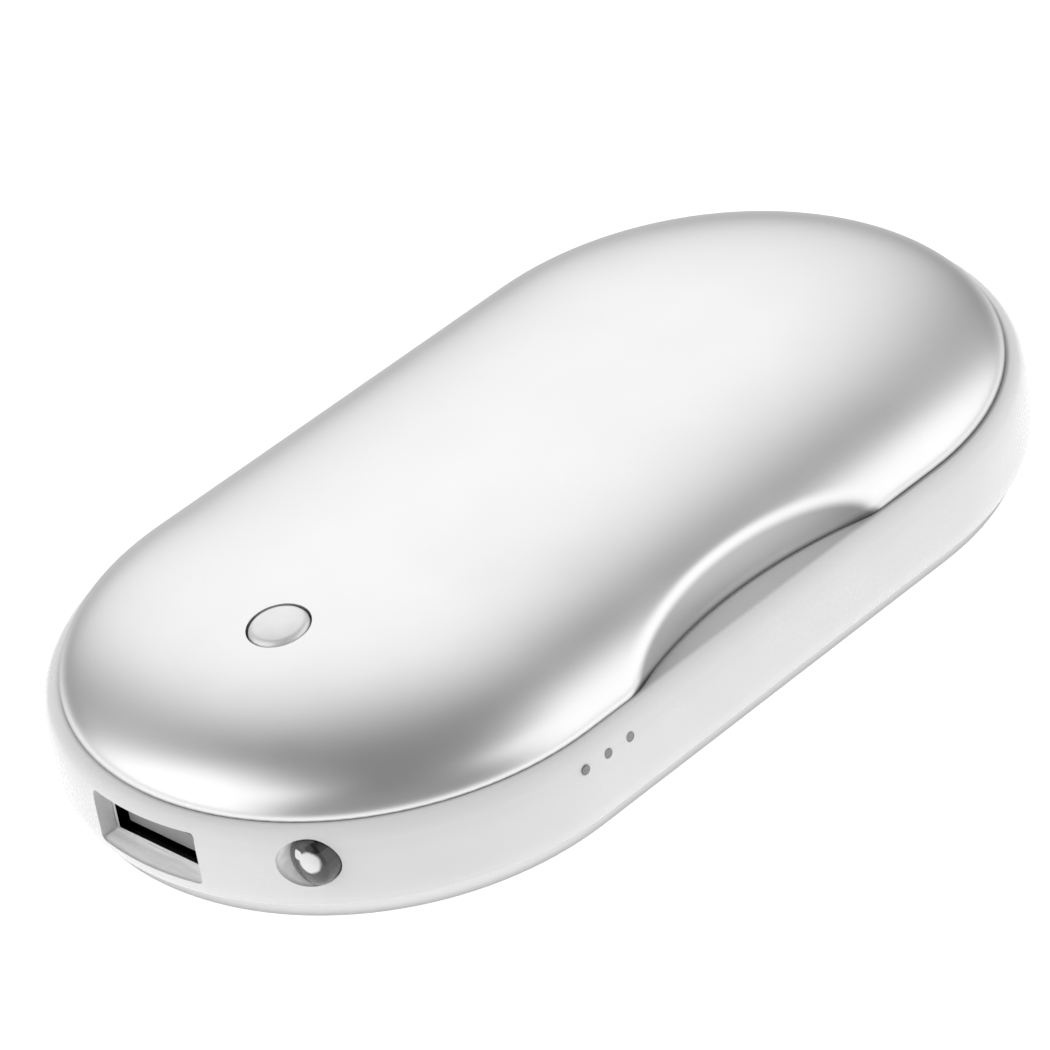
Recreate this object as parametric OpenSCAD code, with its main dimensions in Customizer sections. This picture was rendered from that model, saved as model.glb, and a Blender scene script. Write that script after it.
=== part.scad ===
// Rechargeable hand warmer: two domed metal covers on a white band, with a power
// button, a socket, a torch, three charge lights and a thumb scoop.
// X runs along the length with the socket end at -X, the thumb scoop is on the -Y
// side, +Z is up, and the origin is the middle of the flat base.

/* [Body] */
// Overall length, measured over the band
body_l = 112; // [108:1:126]
// Overall width, measured over the band
body_w = 62.5; // [62:0.5:70]
// How far the band bulges out beyond the covers
band_bulge = 1.8; // [1.2:0.1:2]
// Power of the bulge's curve, where more is squarer
band_power = 5; // [3:0.5:6]
// Height of the band between its two seams
band_h = 9.3; // [9.3:0.1:12]
// Rise of each domed cover above its seam
dome_h = 7.5; // [7.3:0.1:10]
// Power of the dome's curve, where 2 is an ellipse and more is squarer
dome_power = 2.03; // [1.9:0.01:2.3]
// Depth of the flat that the lower cover rests on
base_flat = 0.3; // [0.2:0.05:0.4]
// Thickness of the metal covers
cover_t = 0.8; // [0.7:0.05:0.9]
// Fine gap that shows between each cover and the band
seam_gap = 0.2; // [0.1:0.05:0.3]

/* [Thumb scoop] */
// Length of the scoop where it meets the seam
scoop_chord = 33.6; // [28:0.2:36]
// Depth of the scoop at the seam
scoop_depth = 2.95; // [2.5:0.05:3]
// Lean of the scoop's wall from upright, in degrees
scoop_lean = 26; // [20:1:28]

/* [Power button] */
// Distance from the socket end to the middle of the button
button_inset = 21.4; // [21:0.2:22]
// Diameter of the button
button_d = 6; // [5.6:0.1:7]
// Gap round the button in the cover
button_gap = 0.2; // [0.15:0.05:0.3]
// How far the button stands proud of the cover
button_proud = 0.25; // [0.2:0.05:0.6]
// How far the button is pressed in
button_travel = 0.5; // [0.3:0.05:0.6]

/* [Socket] */
// Outer width of the socket's metal shell
usb_w = 13.1; // [12.9:0.05:13.2]
// Outer height of the socket's metal shell
usb_h = 5.7; // [5.5:0.05:5.8]
// Length of the socket's metal shell
usb_l = 14; // [13:0.2:14.2]
// Sideways place of the socket
usb_y = -0.5; // [-0.6:0.1:0.6]
// Distance from the socket end of the body to the mouth of the shell
usb_setback = 2.5; // [1.6:0.1:2.6]
// Distance from the upper seam down to the middle of the socket
usb_drop = 4.2; // [4.2:0.05:4.6]

/* [Charging inlet] */
// Width of the charging inlet's shell
inlet_w = 7.5; // [7.4:0.05:7.7]
// Height of the charging inlet's shell
inlet_h = 2.5; // [2.4:0.05:2.6]
// Distance from the socket end to the middle of the charging inlet
inlet_inset = 30; // [29:0.2:31]

/* [Torch] */
// Diameter of the torch lamp
lamp_d = 5; // [4.6:0.1:5]
// Sideways place of the torch, towards the thumb scoop
torch_y = 17.4; // [17:0.1:17.6]
// Distance from the upper seam down to the middle of the torch
torch_drop = 3.4; // [3.3:0.05:3.7]
// How far the lamp's face is set back from the middle of its hole
torch_setback = 0.2; // [0:0.05:0.6]

/* [Charge lights] */
// Diameter of each charge light
light_d = 1; // [0.8:0.05:1.1]
// Distance between neighbouring charge lights
light_pitch = 3; // [2.6:0.1:3.2]
// Distance from the socket end to the middle charge light
light_inset = 31.6; // [31:0.1:32]
// Distance from the upper seam down to the charge lights
light_drop = 2.1; // [2:0.05:2.4]

/* [Battery] */
// Diameter of each cell over its wrap
cell_d = 18.4; // [17.6:0.1:18.5]
// Distance from the socket end to the cells
cell_inset = 28.5; // [28.5:0.1:29]
// Distance from the cells to the far end, which leaves 65 for the cells
cell_end_room = 18.5; // [17.5:0.1:23.5]

/* [Board] */
// Thickness of the circuit board
board_t = 1; // [0.8:0.1:1.1]

/* [Screws] */
// Diameter of the screws
screw_d = 2; // [1.6:0.1:2.2]
// Length of each long screw that clamps the two carriers
long_screw_l = 9; // [8:0.5:9.5]
// Length of each board screw
board_screw_l = 3.6; // [3:0.1:4]

/* [Hidden] */

$fn = 72;
// Overrun of every cut beyond the face that it leaves
over = 1;
// Clearance between pieces that are put together
fit = 0.15;
// Clearance between small pieces that are pressed together
snug = 0.05;

// Body
near_x = -body_l / 2;
band_r = body_w / 2;
seam_r = band_r - band_bulge;
straight = (body_l - body_w) / 2;
low_z = dome_h - base_flat;
high_z = low_z + band_h;
mid_z = low_z + band_h / 2;
dome_steps = 15;
band_steps = 8;

// Band: a channel that is open inwards, with a flange at each seam
flange_t = 1.25;
top_flange_w = 4.2;
low_flange_w = 2.5;
wall_inset = 0.6;
wall_r = seam_r - wall_inset;

// Scoop: a leaning cone cuts the upper cover
scoop_r = (pow(scoop_chord / 2, 2) + pow(scoop_depth, 2)) / (2 * scoop_depth);
scoop_y = seam_r - scoop_depth + scoop_r;

// Carriers: plastic frames inside the covers
carrier_w = 6.2;
carrier_r = seam_r - carrier_w;
carrier_h = 3;
deck_t = 1.2;
boss_r = 2.5;
boss_y = seam_r - top_flange_w - fit - boss_r - 2 * fit;
split_z = mid_z + fit;
pilot_gap = 0.05;
screw_gap = 0.15;

// Socket, and the board that it stands on
usb_x = near_x + usb_setback;
usb_z = high_z - usb_drop;
usb_wall = 0.3;
usb_back = usb_x + usb_l;
tongue_w = 11.2;
tongue_t = 1.84;
tongue_low_gap = 0.5;
tongue_setback = 0.9;
tongue_top = usb_z - usb_h / 2 + usb_wall + tongue_low_gap + tongue_t;
tongue_block_l = 2.6;
contact_w = 1;
contact_t = 0.25;
contact_near = 1;
contact_far = 3.5;
contact_ys = [-contact_far, -contact_near, contact_near, contact_far];
contact_in = 0.5;
recess_gap = 0.15;
recess_run = 4;
board_top = usb_z - usb_h / 2;
board_z = board_top - board_t;
board_r = seam_r - low_flange_w - 2 * fit;

// Switch under the button
button_x = near_x + button_inset;
button_r = button_d / 2;
button_flange_w = 1.2;
button_flange_t = 1.4;
button_flange_z = high_z - button_flange_t
    + dome_rise(cover_t + fit, -button_x - straight + button_r + button_flange_w);
button_stem_r = 1.5;
switch_w = 6;
switch_h = 3.5;
plunger_r = 1.7;
plunger_h = 2;
plunger_in = 0.8;
switch_top = board_top + switch_h;
plunger_top = switch_top + plunger_h;
guide_wall = 1.6;
deck_z = high_z + fit;
guide_z = button_flange_z - button_travel - 2 * fit;

// Cells, side by side and held by the lower carrier
cell_r = cell_d / 2;
cell_gap = 0.1;
cell_y = cell_r + cell_gap / 2;
cell_l = body_l - cell_inset - cell_end_room;
cell_x = near_x + cell_inset;
cell_far_x = cell_x + cell_l;
wrap_t = 0.15;
can_r = cell_r - wrap_t - snug;
cap_r = 2.8;
cap_h = 1;
ring_t = 0.3;
ring_gap = 0.6;
strip_t = 0.2;
strip_h = 6.4;
strip_reach = 4;
bulkhead_t = 1;
bulkhead_gap = 0.25;
bulkhead_x = cell_x - strip_t - bulkhead_gap - bulkhead_t;
bulkhead_far_x = cell_far_x + strip_t + bulkhead_gap;
cradle_w = 2;
cradle_y = 2 * cell_r;
cradle_h = 7;
keel_w = 5;
keel_h = 4.2;

// Board: a near part with two tongues that run beside the cells
board_gap = 0.5;
board_edge_x = bulkhead_x - board_gap;
tongue_in_y = cradle_y + cradle_w / 2 + 2 * fit;
board_light_room = 3.15;
board_tongue_x = near_x + light_inset + light_pitch + board_light_room;
board_hole_gap = 0.1;
plate_t = 1.2;
plate_drop = 1.6;
plate_z = board_z - plate_drop - plate_t;
post_r = 2.3;
near_screw_inset = 10;
far_screw_inset = 23;
board_screw_room = 1;

// Long screws, in pairs beside the cells
boss_room = 1;
far_boss_run = 2.4;
boss_xs = [board_tongue_x + 2 * fit + boss_r + boss_room, straight + far_boss_run];
boss_drop = 1.2;
boss_low_z = low_z - boss_drop;
head_r = 1.8;
head_h = 1.3;
head_gap = 0.25;
head_slot_w = 0.5;
board_screw_places = [
    [near_x + near_screw_inset, usb_y - usb_w / 2 - head_r - board_screw_room],
    [near_x + far_screw_inset, tongue_in_y + head_r]
];

// Charging inlet on the +Y side
inlet_x = near_x + inlet_inset;
inlet_l = 5.6;
inlet_wall = 0.25;
inlet_mouth_y = wall_at(inlet_x - inlet_w / 2) - fit;
inlet_z = board_top + inlet_h / 2;
inlet_hole_gap = 0.35;
inlet_recess_w = 11.2;
inlet_recess_h = 6;
inlet_recess_t = 1.1;
inlet_tongue_w = 3.7;
inlet_tongue_t = 0.6;
inlet_block_l = 1.5;
inlet_contact_w = 0.4;
inlet_contact_t = 0.15;
inlet_contact_pitch = 0.65;

// Torch lamp, on its side above the board
lamp_r = lamp_d / 2;
lamp_l = 10.2;
lamp_face_h = 0.5;
lamp_face_r = (pow(lamp_r, 2) + pow(lamp_face_h, 2)) / 2 / lamp_face_h;
lamp_rim_w = 0.4;
lamp_rim_r = lamp_r + lamp_rim_w;
lamp_rim_t = 1;
lamp_gap = 0.1;
torch_z = high_z - torch_drop;
torch_mouth_x = -straight - sqrt(pow(band_r, 2) - pow(torch_y, 2));
lamp_x = torch_mouth_x + torch_setback;
lamp_back_x = lamp_x + lamp_l;
lead_w = 0.5;
lead_pitch = 2.54;
lead_run = 1.6;
cup_r = 1.1;
cup_l = 0.9;
cup_place = 2.2;
holder_l = 2.4;
holder_w = 4.4;

// Charge lights and the clear pipe that carries them to the band
light_x = near_x + light_inset;
light_z = high_z - light_drop;
chip_light_h = 0.8;
chip_light_w = 2;
chip_light_inset = 1.4;
chip_light_y = board_r - chip_light_inset;
pipe_foot_gap = 0.3;
pipe_foot_h = 1.2;
pipe_bar_w = 2;
pipe_end_w = 0.9;
pipe_bar_y = wall_at(light_x - light_pitch - pipe_end_w) - fit - pipe_bar_w;

// Heaters under the covers, with a pad between each heater and the cells
heater_t = 0.25;
heater_gap = 0.1;
pad_t = 0.6;
heater_w = 38;
heater_inset = 3.5;
heater_far_inset = 7.5;
pad_inset = 4;
heater_x = cell_x + heater_inset;
heater_far_x = cell_far_x - heater_far_inset;
pad_x = heater_x + pad_inset;
heater_in = cover_t + heater_gap;
pad_in = heater_in + heater_t + heater_gap;

// Wires: sides and bends of the tubes
wire_sides = 8;
wire_bend = 1;
thick_wire_r = 0.65;
thin_wire_r = 0.45;
fine_wire_r = 0.25;
sensor_r = 0.9;
sensor_l = 2.6;

// Places where the wires run and land
wire_rise = 1.6;
red_y = 4;
lead_land_inset = 25.4;
red_land_y = 7.4;
black_land_y = -5.4;
heater_lead_y = 3.6;
top_land_y = 15.8;
drop_x = bulkhead_x - thin_wire_r;
sensor_land_y = 2.1;
bottom_lead_inset = 24;
bottom_lead_x = near_x + bottom_lead_inset;
bottom_lead_y = 9;
bottom_lead_z = low_z + thin_wire_r + 2 * fit
    - dome_rise(heater_in + heater_t, bottom_lead_y + 2 * thin_wire_r);

// Parts on the board
coil_w = 7;
coil_h = 3.2;
coil_inset = 14.5;
coil_y = 12.5;
chip_w = 4;
chip_h = 1.5;
chip_leg_w = 0.4;
chip_leg_out = 1;
chip_leg_t = 0.2;
chip_stand = 0.1;
charge_chip_l = 5;
charge_chip_inset = 21.4;
charge_chip_y = 13.6;
control_chip_l = 10;
control_chip_inset = 20;
control_chip_y = -10.6;
cap_w = 1.25;
cap_l = 2;
cap_inset = 15;
cap_pitch = 3.4;
cap_y = 18.4;

// Outline of a dome from its seam to its crown, drawn inset by a wall
function dome_points(inset) =
    let (a = seam_r - inset, b = dome_h - inset, e = 2 / dome_power, step = 90 / dome_steps)
    concat(
        [for (i = [0 : dome_steps - 2]) [a * pow(cos(i * step), e), b * pow(sin(i * step), e)]],
        [[a * pow(sin(step), e), b], [0, b], [0, 0]]
    );

// Section of the band: the bulge outside and the channel inside
function band_points() = concat(
    [for (i = [-band_steps : band_steps])
        let (turn = 90 * i / band_steps)
        [
            seam_r + band_bulge * cos(turn),
            mid_z + sign(i) * band_h / 2 * pow(abs(sin(turn)), 2 / band_power)
        ]
    ],
    [
        [seam_r - top_flange_w, high_z],
        [seam_r - top_flange_w, high_z - flange_t],
        [wall_r, high_z - flange_t],
        [wall_r, low_z + flange_t],
        [seam_r - low_flange_w, low_z + flange_t],
        [seam_r - low_flange_w, low_z]
    ]
);

// Height of the dome's inner surface above the seam at a distance from the middle line
function dome_rise(inset, r) =
    (dome_h - inset) * pow(1 - pow(r / (seam_r - inset), dome_power), 1 / dome_power);

// Distance of the band's inner wall from the middle line at a place along the body
function wall_at(x) = sqrt(pow(wall_r, 2) - pow(max(0, abs(x) - straight), 2));

// A section drawn at its distance from the middle line is carried round the outline
module around() {
    for (end = [0, 1])
        mirror([end, 0, 0])
            translate([straight, 0, 0])
                rotate([0, 0, -90])
                    rotate_extrude(angle = 180)
                        children();
    for (side = [0, 1])
        mirror([0, side, 0])
            translate([-straight, 0, 0])
                rotate([90, 0, 90])
                    linear_extrude(2 * straight)
                        children();
}

// Flat outline with round ends, at a distance from the middle line
module outline(r) {
    square([2 * straight, 2 * r], center = true);
    for (end = [-1, 1])
        translate([end * straight, 0])
            circle(r);
}

module upper_dome(inset) {
    translate([0, 0, high_z])
        around()
            polygon(dome_points(inset));
}

module lower_dome(inset) {
    translate([0, 0, low_z])
        mirror([0, 0, 1])
            around()
                polygon(dome_points(inset));
}

// Leaning cone that cuts the scoop, grown by a wall
module scoop(inset) {
    low = high_z - over;
    high = high_z + dome_h + over;
    base_r = scoop_r + inset / cos(scoop_lean);
    translate([0, -scoop_y, low])
        cylinder(
            h = high - low,
            r1 = base_r - over * tan(scoop_lean),
            r2 = base_r + (dome_h + over) * tan(scoop_lean)
        );
}

// Box between two corners
module span(a, b) {
    translate(a)
        cube(b - a);
}

// Flat slab as large as the whole body, between two heights
module slab(z0, z1) {
    span([near_x, -band_r, z0], [-near_x, band_r, z1]);
}

// Box given by its middle and size
module block(middle, size) {
    translate(middle)
        cube(size, center = true);
}

// Rod along X from one place to another
module rod_x(x0, x1, y, z, r) {
    translate([x0, y, z])
        rotate([0, 90, 0])
            cylinder(h = x1 - x0, r = r);
}

// Rod along Y from one place to another
module rod_y(x, y0, y1, z, r) {
    translate([x, y0, z])
        rotate([-90, 0, 0])
            cylinder(h = y1 - y0, r = r);
}

// Slot with round ends, bored along Y
module slot_y(x, y0, y1, z, w, h) {
    translate([x, y1, z])
        rotate([90, 0, 0])
            linear_extrude(y1 - y0) {
                square([w - h, h], center = true);
                for (end = [-1, 1])
                    translate([end * (w - h) / 2, 0])
                        circle(h / 2);
            }
}

module at_bosses() {
    for (x = boss_xs, side = [-1, 1])
        translate([x, side * boss_y, 0])
            children();
}

module at_cells() {
    for (side = [-1, 1])
        translate([0, side * cell_y, mid_z])
            rotate([0, 90, 0])
                children();
}

function unit(v) = v / norm(v);

// Points of a wire's route with each corner rounded by a short curve
function bent(route) = concat(
    [route[0]],
    [for (i = [1 : len(route) - 2])
        let (
            p = route[i],
            back = route[i - 1] - p,
            on = route[i + 1] - p,
            a = p + unit(back) * min(wire_bend, norm(back) / 3),
            b = p + unit(on) * min(wire_bend, norm(on) / 3)
        )
        for (share = [0, 0.33, 0.67, 1])
            pow(1 - share, 2) * a + 2 * share * (1 - share) * p + pow(share, 2) * b
    ],
    [route[len(route) - 1]]
);

function heading(p, i) = unit(p[min(i + 1, len(p) - 1)] - p[max(i - 1, 0)]);

// Side direction at each point, carried along the route without twist
function sides_along(p, i, u) =
    i == len(p) ? [] :
    let (t = heading(p, i), v = unit(u - (u * t) * t))
    concat([v], sides_along(p, i + 1, v));

// Round wire along a route
module wire(route, r, start_side) {
    p = bent(route);
    u = sides_along(p, 0, start_side);
    rings = [
        for (i = [0 : len(p) - 1], k = [0 : wire_sides - 1])
            let (t = heading(p, i), v = cross(t, u[i]), a = 360 * k / wire_sides)
            p[i] + r * (cos(a) * u[i] + sin(a) * v)
    ];
    last = (len(p) - 1) * wire_sides;
    walls = [
        for (i = [0 : len(p) - 2], k = [0 : wire_sides - 1])
            let (a = i * wire_sides, next = (k + 1) % wire_sides)
            [a + k, a + wire_sides + k, a + wire_sides + next, a + next]
    ];
    polyhedron(
        points = rings,
        faces = concat(
            [[for (k = [0 : wire_sides - 1]) k]],
            walls,
            [[for (k = [wire_sides - 1 : -1 : 0]) last + k]]
        )
    );
}

// Layer that follows the inside of a dome, between two places along the body
module layer(inset, t, x0, x1, upper) {
    z0 = upper ? high_z : -over;
    z1 = upper ? high_z + dome_h + over : low_z;
    intersection() {
        difference() {
            if (upper) upper_dome(inset); else lower_dome(inset);
            if (upper) upper_dome(inset + t); else lower_dome(inset + t);
        }
        span([x0, -heater_w / 2, z0], [x1, heater_w / 2, z1]);
    }
}

module top_cover() {
    color("silver")
        difference() {
            upper_dome(0);
            scoop(0);
            difference() {
                upper_dome(cover_t);
                scoop(cover_t);
            }
            slab(high_z - over, high_z + seam_gap);
            translate([button_x, 0, high_z])
                cylinder(h = dome_h + over, r = button_r + button_gap);
        }
}

module bottom_cover() {
    color("silver")
        difference() {
            lower_dome(0);
            lower_dome(cover_t);
            slab(-over, 0);
            slab(low_z - seam_gap, low_z + over);
        }
}

module side_band() {
    half_w = usb_w / 2 + recess_gap;
    half_h = usb_h / 2 + snug;
    color("whitesmoke")
        difference() {
            around()
                polygon(band_points());
            span(
                [near_x - over, usb_y - half_w, usb_z - half_h],
                [usb_x + recess_run, usb_y + half_w, usb_z + half_h]
            );
            rod_x(near_x - over, lamp_back_x + over, -torch_y, torch_z, lamp_r + lamp_gap);
            rod_x(
                lamp_back_x - lamp_rim_t - fit, lamp_back_x + over,
                -torch_y, torch_z, lamp_rim_r + lamp_gap
            );
            for (i = [-1 : 1])
                rod_y(
                    light_x + i * light_pitch, -band_r - over, -wall_r + over,
                    light_z, light_d / 2 + snug
                );
            slot_y(
                inlet_x, wall_r - over, band_r + over, inlet_z,
                inlet_w + 2 * inlet_hole_gap, inlet_h + 2 * inlet_hole_gap
            );
            slot_y(
                inlet_x, band_r - inlet_recess_t, band_r + over, inlet_z,
                inlet_recess_w, inlet_recess_h
            );
        }
}

module top_carrier() {
    color("white")
        difference() {
            union() {
                intersection() {
                    upper_dome(cover_t + fit);
                    translate([0, 0, high_z])
                        linear_extrude(carrier_h)
                            difference() {
                                outline(seam_r);
                                outline(carrier_r);
                            }
                }
                intersection() {
                    upper_dome(cover_t + fit);
                    union() {
                        translate([0, 0, deck_z])
                            linear_extrude(deck_t)
                                intersection() {
                                    outline(carrier_r + carrier_w / 4);
                                    translate([near_x, -band_r])
                                        square([board_edge_x - near_x - 4 * fit, 2 * band_r]);
                                }
                        translate([button_x, 0, deck_z])
                            cylinder(h = guide_z - deck_z, r = button_stem_r + fit + guide_wall);
                    }
                }
                at_bosses()
                    translate([0, 0, split_z])
                        cylinder(h = high_z + carrier_h / 2 - split_z, r = boss_r);
            }
            scoop(cover_t + fit);
            translate([button_x, 0, deck_z - over])
                cylinder(h = guide_z - deck_z + 2 * over, r = button_stem_r + fit);
            at_bosses()
                translate([0, 0, split_z - over])
                    cylinder(
                        h = boss_low_z + long_screw_l + 2 * fit - split_z + over,
                        r = screw_d / 2 + pilot_gap
                    );
        }
}

module bottom_carrier() {
    half_cradle = cradle_w / 2;
    cradle_far_x = bulkhead_far_x + bulkhead_t;
    color("white")
        difference() {
            union() {
                intersection() {
                    lower_dome(cover_t + fit);
                    translate([0, 0, low_z - carrier_h])
                        linear_extrude(carrier_h)
                            difference() {
                                outline(seam_r);
                                outline(carrier_r);
                            }
                }
                intersection() {
                    union() {
                        lower_dome(pad_in + pad_t + fit);
                        translate([0, 0, low_z])
                            linear_extrude(cradle_h)
                                outline(seam_r - top_flange_w - fit);
                    }
                    union() {
                        for (x = [bulkhead_x, bulkhead_far_x])
                            span(
                                [x, -carrier_r - carrier_w / 4, -over],
                                [x + bulkhead_t, carrier_r + carrier_w / 4, board_z - fit]
                            );
                        for (side = [-1, 1])
                            span(
                                [bulkhead_x, side * cradle_y - half_cradle, low_z - carrier_h],
                                [cradle_far_x, side * cradle_y + half_cradle, low_z + carrier_h]
                            );
                        span(
                            [bulkhead_x, -keel_w / 2, -over],
                            [cradle_far_x, keel_w / 2, keel_h + base_flat]
                        );
                        translate([0, 0, plate_z])
                            linear_extrude(plate_t)
                                intersection() {
                                    outline(carrier_r + carrier_w / 4);
                                    translate([near_x, -band_r])
                                        square([bulkhead_x + bulkhead_t / 2 - near_x, 2 * band_r]);
                                }
                        for (place = board_screw_places)
                            translate([place[0], place[1], plate_z])
                                cylinder(h = board_z - plate_z, r = post_r);
                    }
                }
                at_bosses()
                    translate([0, 0, boss_low_z])
                        cylinder(h = split_z - 2 * fit - boss_low_z, r = boss_r);
            }
            at_cells()
                translate([0, 0, cell_x - strip_t - bulkhead_gap])
                    cylinder(h = cell_l + 2 * (strip_t + bulkhead_gap), r = cell_r + fit);
            at_bosses()
                translate([0, 0, boss_low_z - over])
                    cylinder(h = split_z - boss_low_z + 2 * over, r = screw_d / 2 + screw_gap);
            at_bosses()
                translate([0, 0, low_z - carrier_h - over])
                    cylinder(h = boss_low_z - low_z + carrier_h + over, r = head_r + head_gap);
            for (place = board_screw_places)
                translate([place[0], place[1], plate_z - over])
                    cylinder(h = board_z - plate_z + 2 * over, r = screw_d / 2 + pilot_gap);
            for (side = [-1, 1]) {
                translate([bottom_lead_x, side * bottom_lead_y, plate_z - over])
                    cylinder(h = plate_t + 2 * over, r = thin_wire_r + 2 * fit);
                rod_x(
                    bulkhead_x - over, bulkhead_x + bulkhead_t + over,
                    side * bottom_lead_y, bottom_lead_z, thin_wire_r + 2 * fit
                );
            }
        }
}

module power_button() {
    stem_low = plunger_top + snug;
    color("lightgray") {
        intersection() {
            translate([0, 0, button_proud])
                upper_dome(0);
            translate([button_x, 0, button_flange_z])
                cylinder(h = dome_h, r = button_r);
        }
        intersection() {
            upper_dome(cover_t + fit);
            translate([button_x, 0, button_flange_z])
                cylinder(h = dome_h, r = button_r + button_flange_w);
        }
        translate([button_x, 0, stem_low])
            cylinder(h = button_flange_z + button_flange_t - stem_low, r = button_stem_r);
    }
}

module switch_body() {
    color("dimgray")
        difference() {
            block([button_x, 0, board_top + switch_h / 2], [switch_w, switch_w, switch_h]);
            translate([button_x, 0, switch_top - plunger_in - button_travel - fit])
                cylinder(h = plunger_in + button_travel + fit + over, r = plunger_r + fit);
        }
}

module switch_plunger() {
    color("black")
        translate([button_x, 0, switch_top - plunger_in])
            cylinder(h = plunger_in + plunger_h, r = plunger_r);
}

module circuit_board() {
    color("darkgreen")
        difference() {
            translate([0, 0, board_z])
                linear_extrude(board_t)
                    intersection() {
                        outline(board_r);
                        union() {
                            translate([near_x, -band_r])
                                square([board_edge_x - near_x, 2 * band_r]);
                            for (side = [0, 1])
                                mirror([0, side])
                                    translate([near_x, tongue_in_y])
                                        square([board_tongue_x - near_x, band_r]);
                        }
                    }
            for (place = board_screw_places)
                translate([place[0], place[1], board_z - over])
                    cylinder(h = board_t + 2 * over, r = screw_d / 2 + board_hole_gap);
        }
}

module usb_a_shell() {
    inner_w = usb_w - 2 * usb_wall;
    inner_h = usb_h - 2 * usb_wall;
    color("lightsteelblue")
        difference() {
            block([usb_x + usb_l / 2, usb_y, usb_z], [usb_l, usb_w, usb_h]);
            block([usb_x + usb_l / 2, usb_y, usb_z], [usb_l + 2 * over, inner_w, inner_h]);
        }
}

module usb_contact(y, grow) {
    span(
        [usb_x + tongue_setback + contact_in, y - contact_w / 2 - grow, tongue_top - grow],
        [usb_back + contact_t, y + contact_w / 2 + grow, tongue_top + contact_t + grow]
    );
}

module usb_a_tongue() {
    inner_w = usb_w - 2 * usb_wall - 2 * snug;
    inner_h = usb_h - 2 * usb_wall - 2 * snug;
    color("gray")
        difference() {
            union() {
                span(
                    [usb_x + tongue_setback, usb_y - tongue_w / 2, tongue_top - tongue_t],
                    [usb_back - tongue_block_l, usb_y + tongue_w / 2, tongue_top]
                );
                block([usb_back - tongue_block_l / 2, usb_y, usb_z], [tongue_block_l, inner_w, inner_h]);
            }
            for (y = contact_ys)
                usb_contact(usb_y + y, snug);
        }
}

module usb_a_contacts() {
    color("gold")
        for (y = contact_ys) {
            usb_contact(usb_y + y, 0);
            span(
                [usb_back + snug, usb_y + y - contact_w / 2, board_top],
                [usb_back + snug + contact_t, usb_y + y + contact_w / 2, tongue_top + contact_t]
            );
        }
}

module inlet_shell() {
    color("lightsteelblue")
        difference() {
            block([inlet_x, inlet_mouth_y - inlet_l / 2, inlet_z], [inlet_w, inlet_l, inlet_h]);
            block(
                [inlet_x, inlet_mouth_y - inlet_l / 2, inlet_z],
                [inlet_w - 2 * inlet_wall, inlet_l + 2 * over, inlet_h - 2 * inlet_wall]
            );
        }
}

module inlet_tongue() {
    gap = inlet_wall + snug;
    back = inlet_mouth_y - inlet_l;
    color("black") {
        span(
            [inlet_x - inlet_w / 2 + gap, back, board_top + gap],
            [inlet_x + inlet_w / 2 - gap, back + inlet_block_l, board_top + inlet_h - gap]
        );
        span(
            [inlet_x - inlet_tongue_w / 2, back + inlet_block_l, inlet_z],
            [inlet_x + inlet_tongue_w / 2, inlet_mouth_y - inlet_block_l / 2, inlet_z + inlet_tongue_t]
        );
    }
}

module inlet_contacts() {
    back = inlet_mouth_y - inlet_l;
    color("gold")
        for (i = [-2 : 2])
            translate([inlet_x + i * inlet_contact_pitch, 0, 0])
                span(
                    [-inlet_contact_w / 2, back + inlet_block_l, inlet_z - inlet_contact_t],
                    [inlet_contact_w / 2, inlet_mouth_y - inlet_block_l, inlet_z]
                );
}

// Lamp frame: two posts, one with the small cup, and their legs down to the board
module lamp_frame(grow) {
    cup_x = lamp_x + cup_place;
    for (side = [-1, 1]) {
        y = -torch_y + side * lead_pitch / 2;
        span(
            [cup_x + cup_l / 2, y - lead_w / 2 - grow, torch_z - lead_w / 2 - grow],
            [lamp_back_x + lead_run, y + lead_w / 2 + grow, torch_z + lead_w / 2 + grow]
        );
    }
    rod_x(
        cup_x - grow, cup_x + cup_l + grow,
        -torch_y + lead_pitch / 2 - cup_r / 2, torch_z, cup_r / 2 + lead_w / 2 + grow
    );
}

module torch_lamp() {
    color("azure", 0.6)
        difference() {
            union() {
                intersection() {
                    rod_x(lamp_x, lamp_back_x, -torch_y, torch_z, lamp_r);
                    translate([lamp_x + lamp_face_r, -torch_y, torch_z])
                        sphere(lamp_face_r);
                }
                rod_x(lamp_back_x - lamp_rim_t, lamp_back_x, -torch_y, torch_z, lamp_rim_r);
            }
            lamp_frame(snug);
        }
}

module torch_lamp_frame() {
    leg_x = lamp_back_x + lead_run - lead_w;
    color("silver") {
        lamp_frame(0);
        for (side = [-1, 1])
            block(
                [leg_x + lead_w / 2, -torch_y + side * lead_pitch / 2, (board_top + torch_z) / 2],
                [lead_w, lead_w, torch_z - board_top]
            );
    }
}

module torch_lamp_holder() {
    x1 = lamp_back_x - lamp_rim_t - fit;
    color("black")
        difference() {
            span(
                [x1 - holder_l, -torch_y - holder_w / 2, board_top],
                [x1, -torch_y + holder_w / 2, torch_z]
            );
            rod_x(x1 - holder_l - over, x1 + over, -torch_y, torch_z, lamp_r + snug);
        }
}

module light_pipe() {
    foot_z = board_top + chip_light_h + pipe_foot_gap;
    half_l = light_pitch + pipe_end_w;
    color("white", 0.6) {
        span(
            [light_x - half_l, -pipe_bar_y - pipe_bar_w, foot_z],
            [light_x + half_l, -pipe_bar_y, light_z + light_d / 2 - snug]
        );
        span(
            [light_x - half_l, -pipe_bar_y - snug, foot_z],
            [light_x + half_l, -chip_light_y + chip_light_w / 2, foot_z + pipe_foot_h]
        );
        for (i = [-1 : 1])
            rod_y(
                light_x + i * light_pitch, -band_r + snug, -pipe_bar_y - snug,
                light_z, light_d / 2
            );
    }
}

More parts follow.
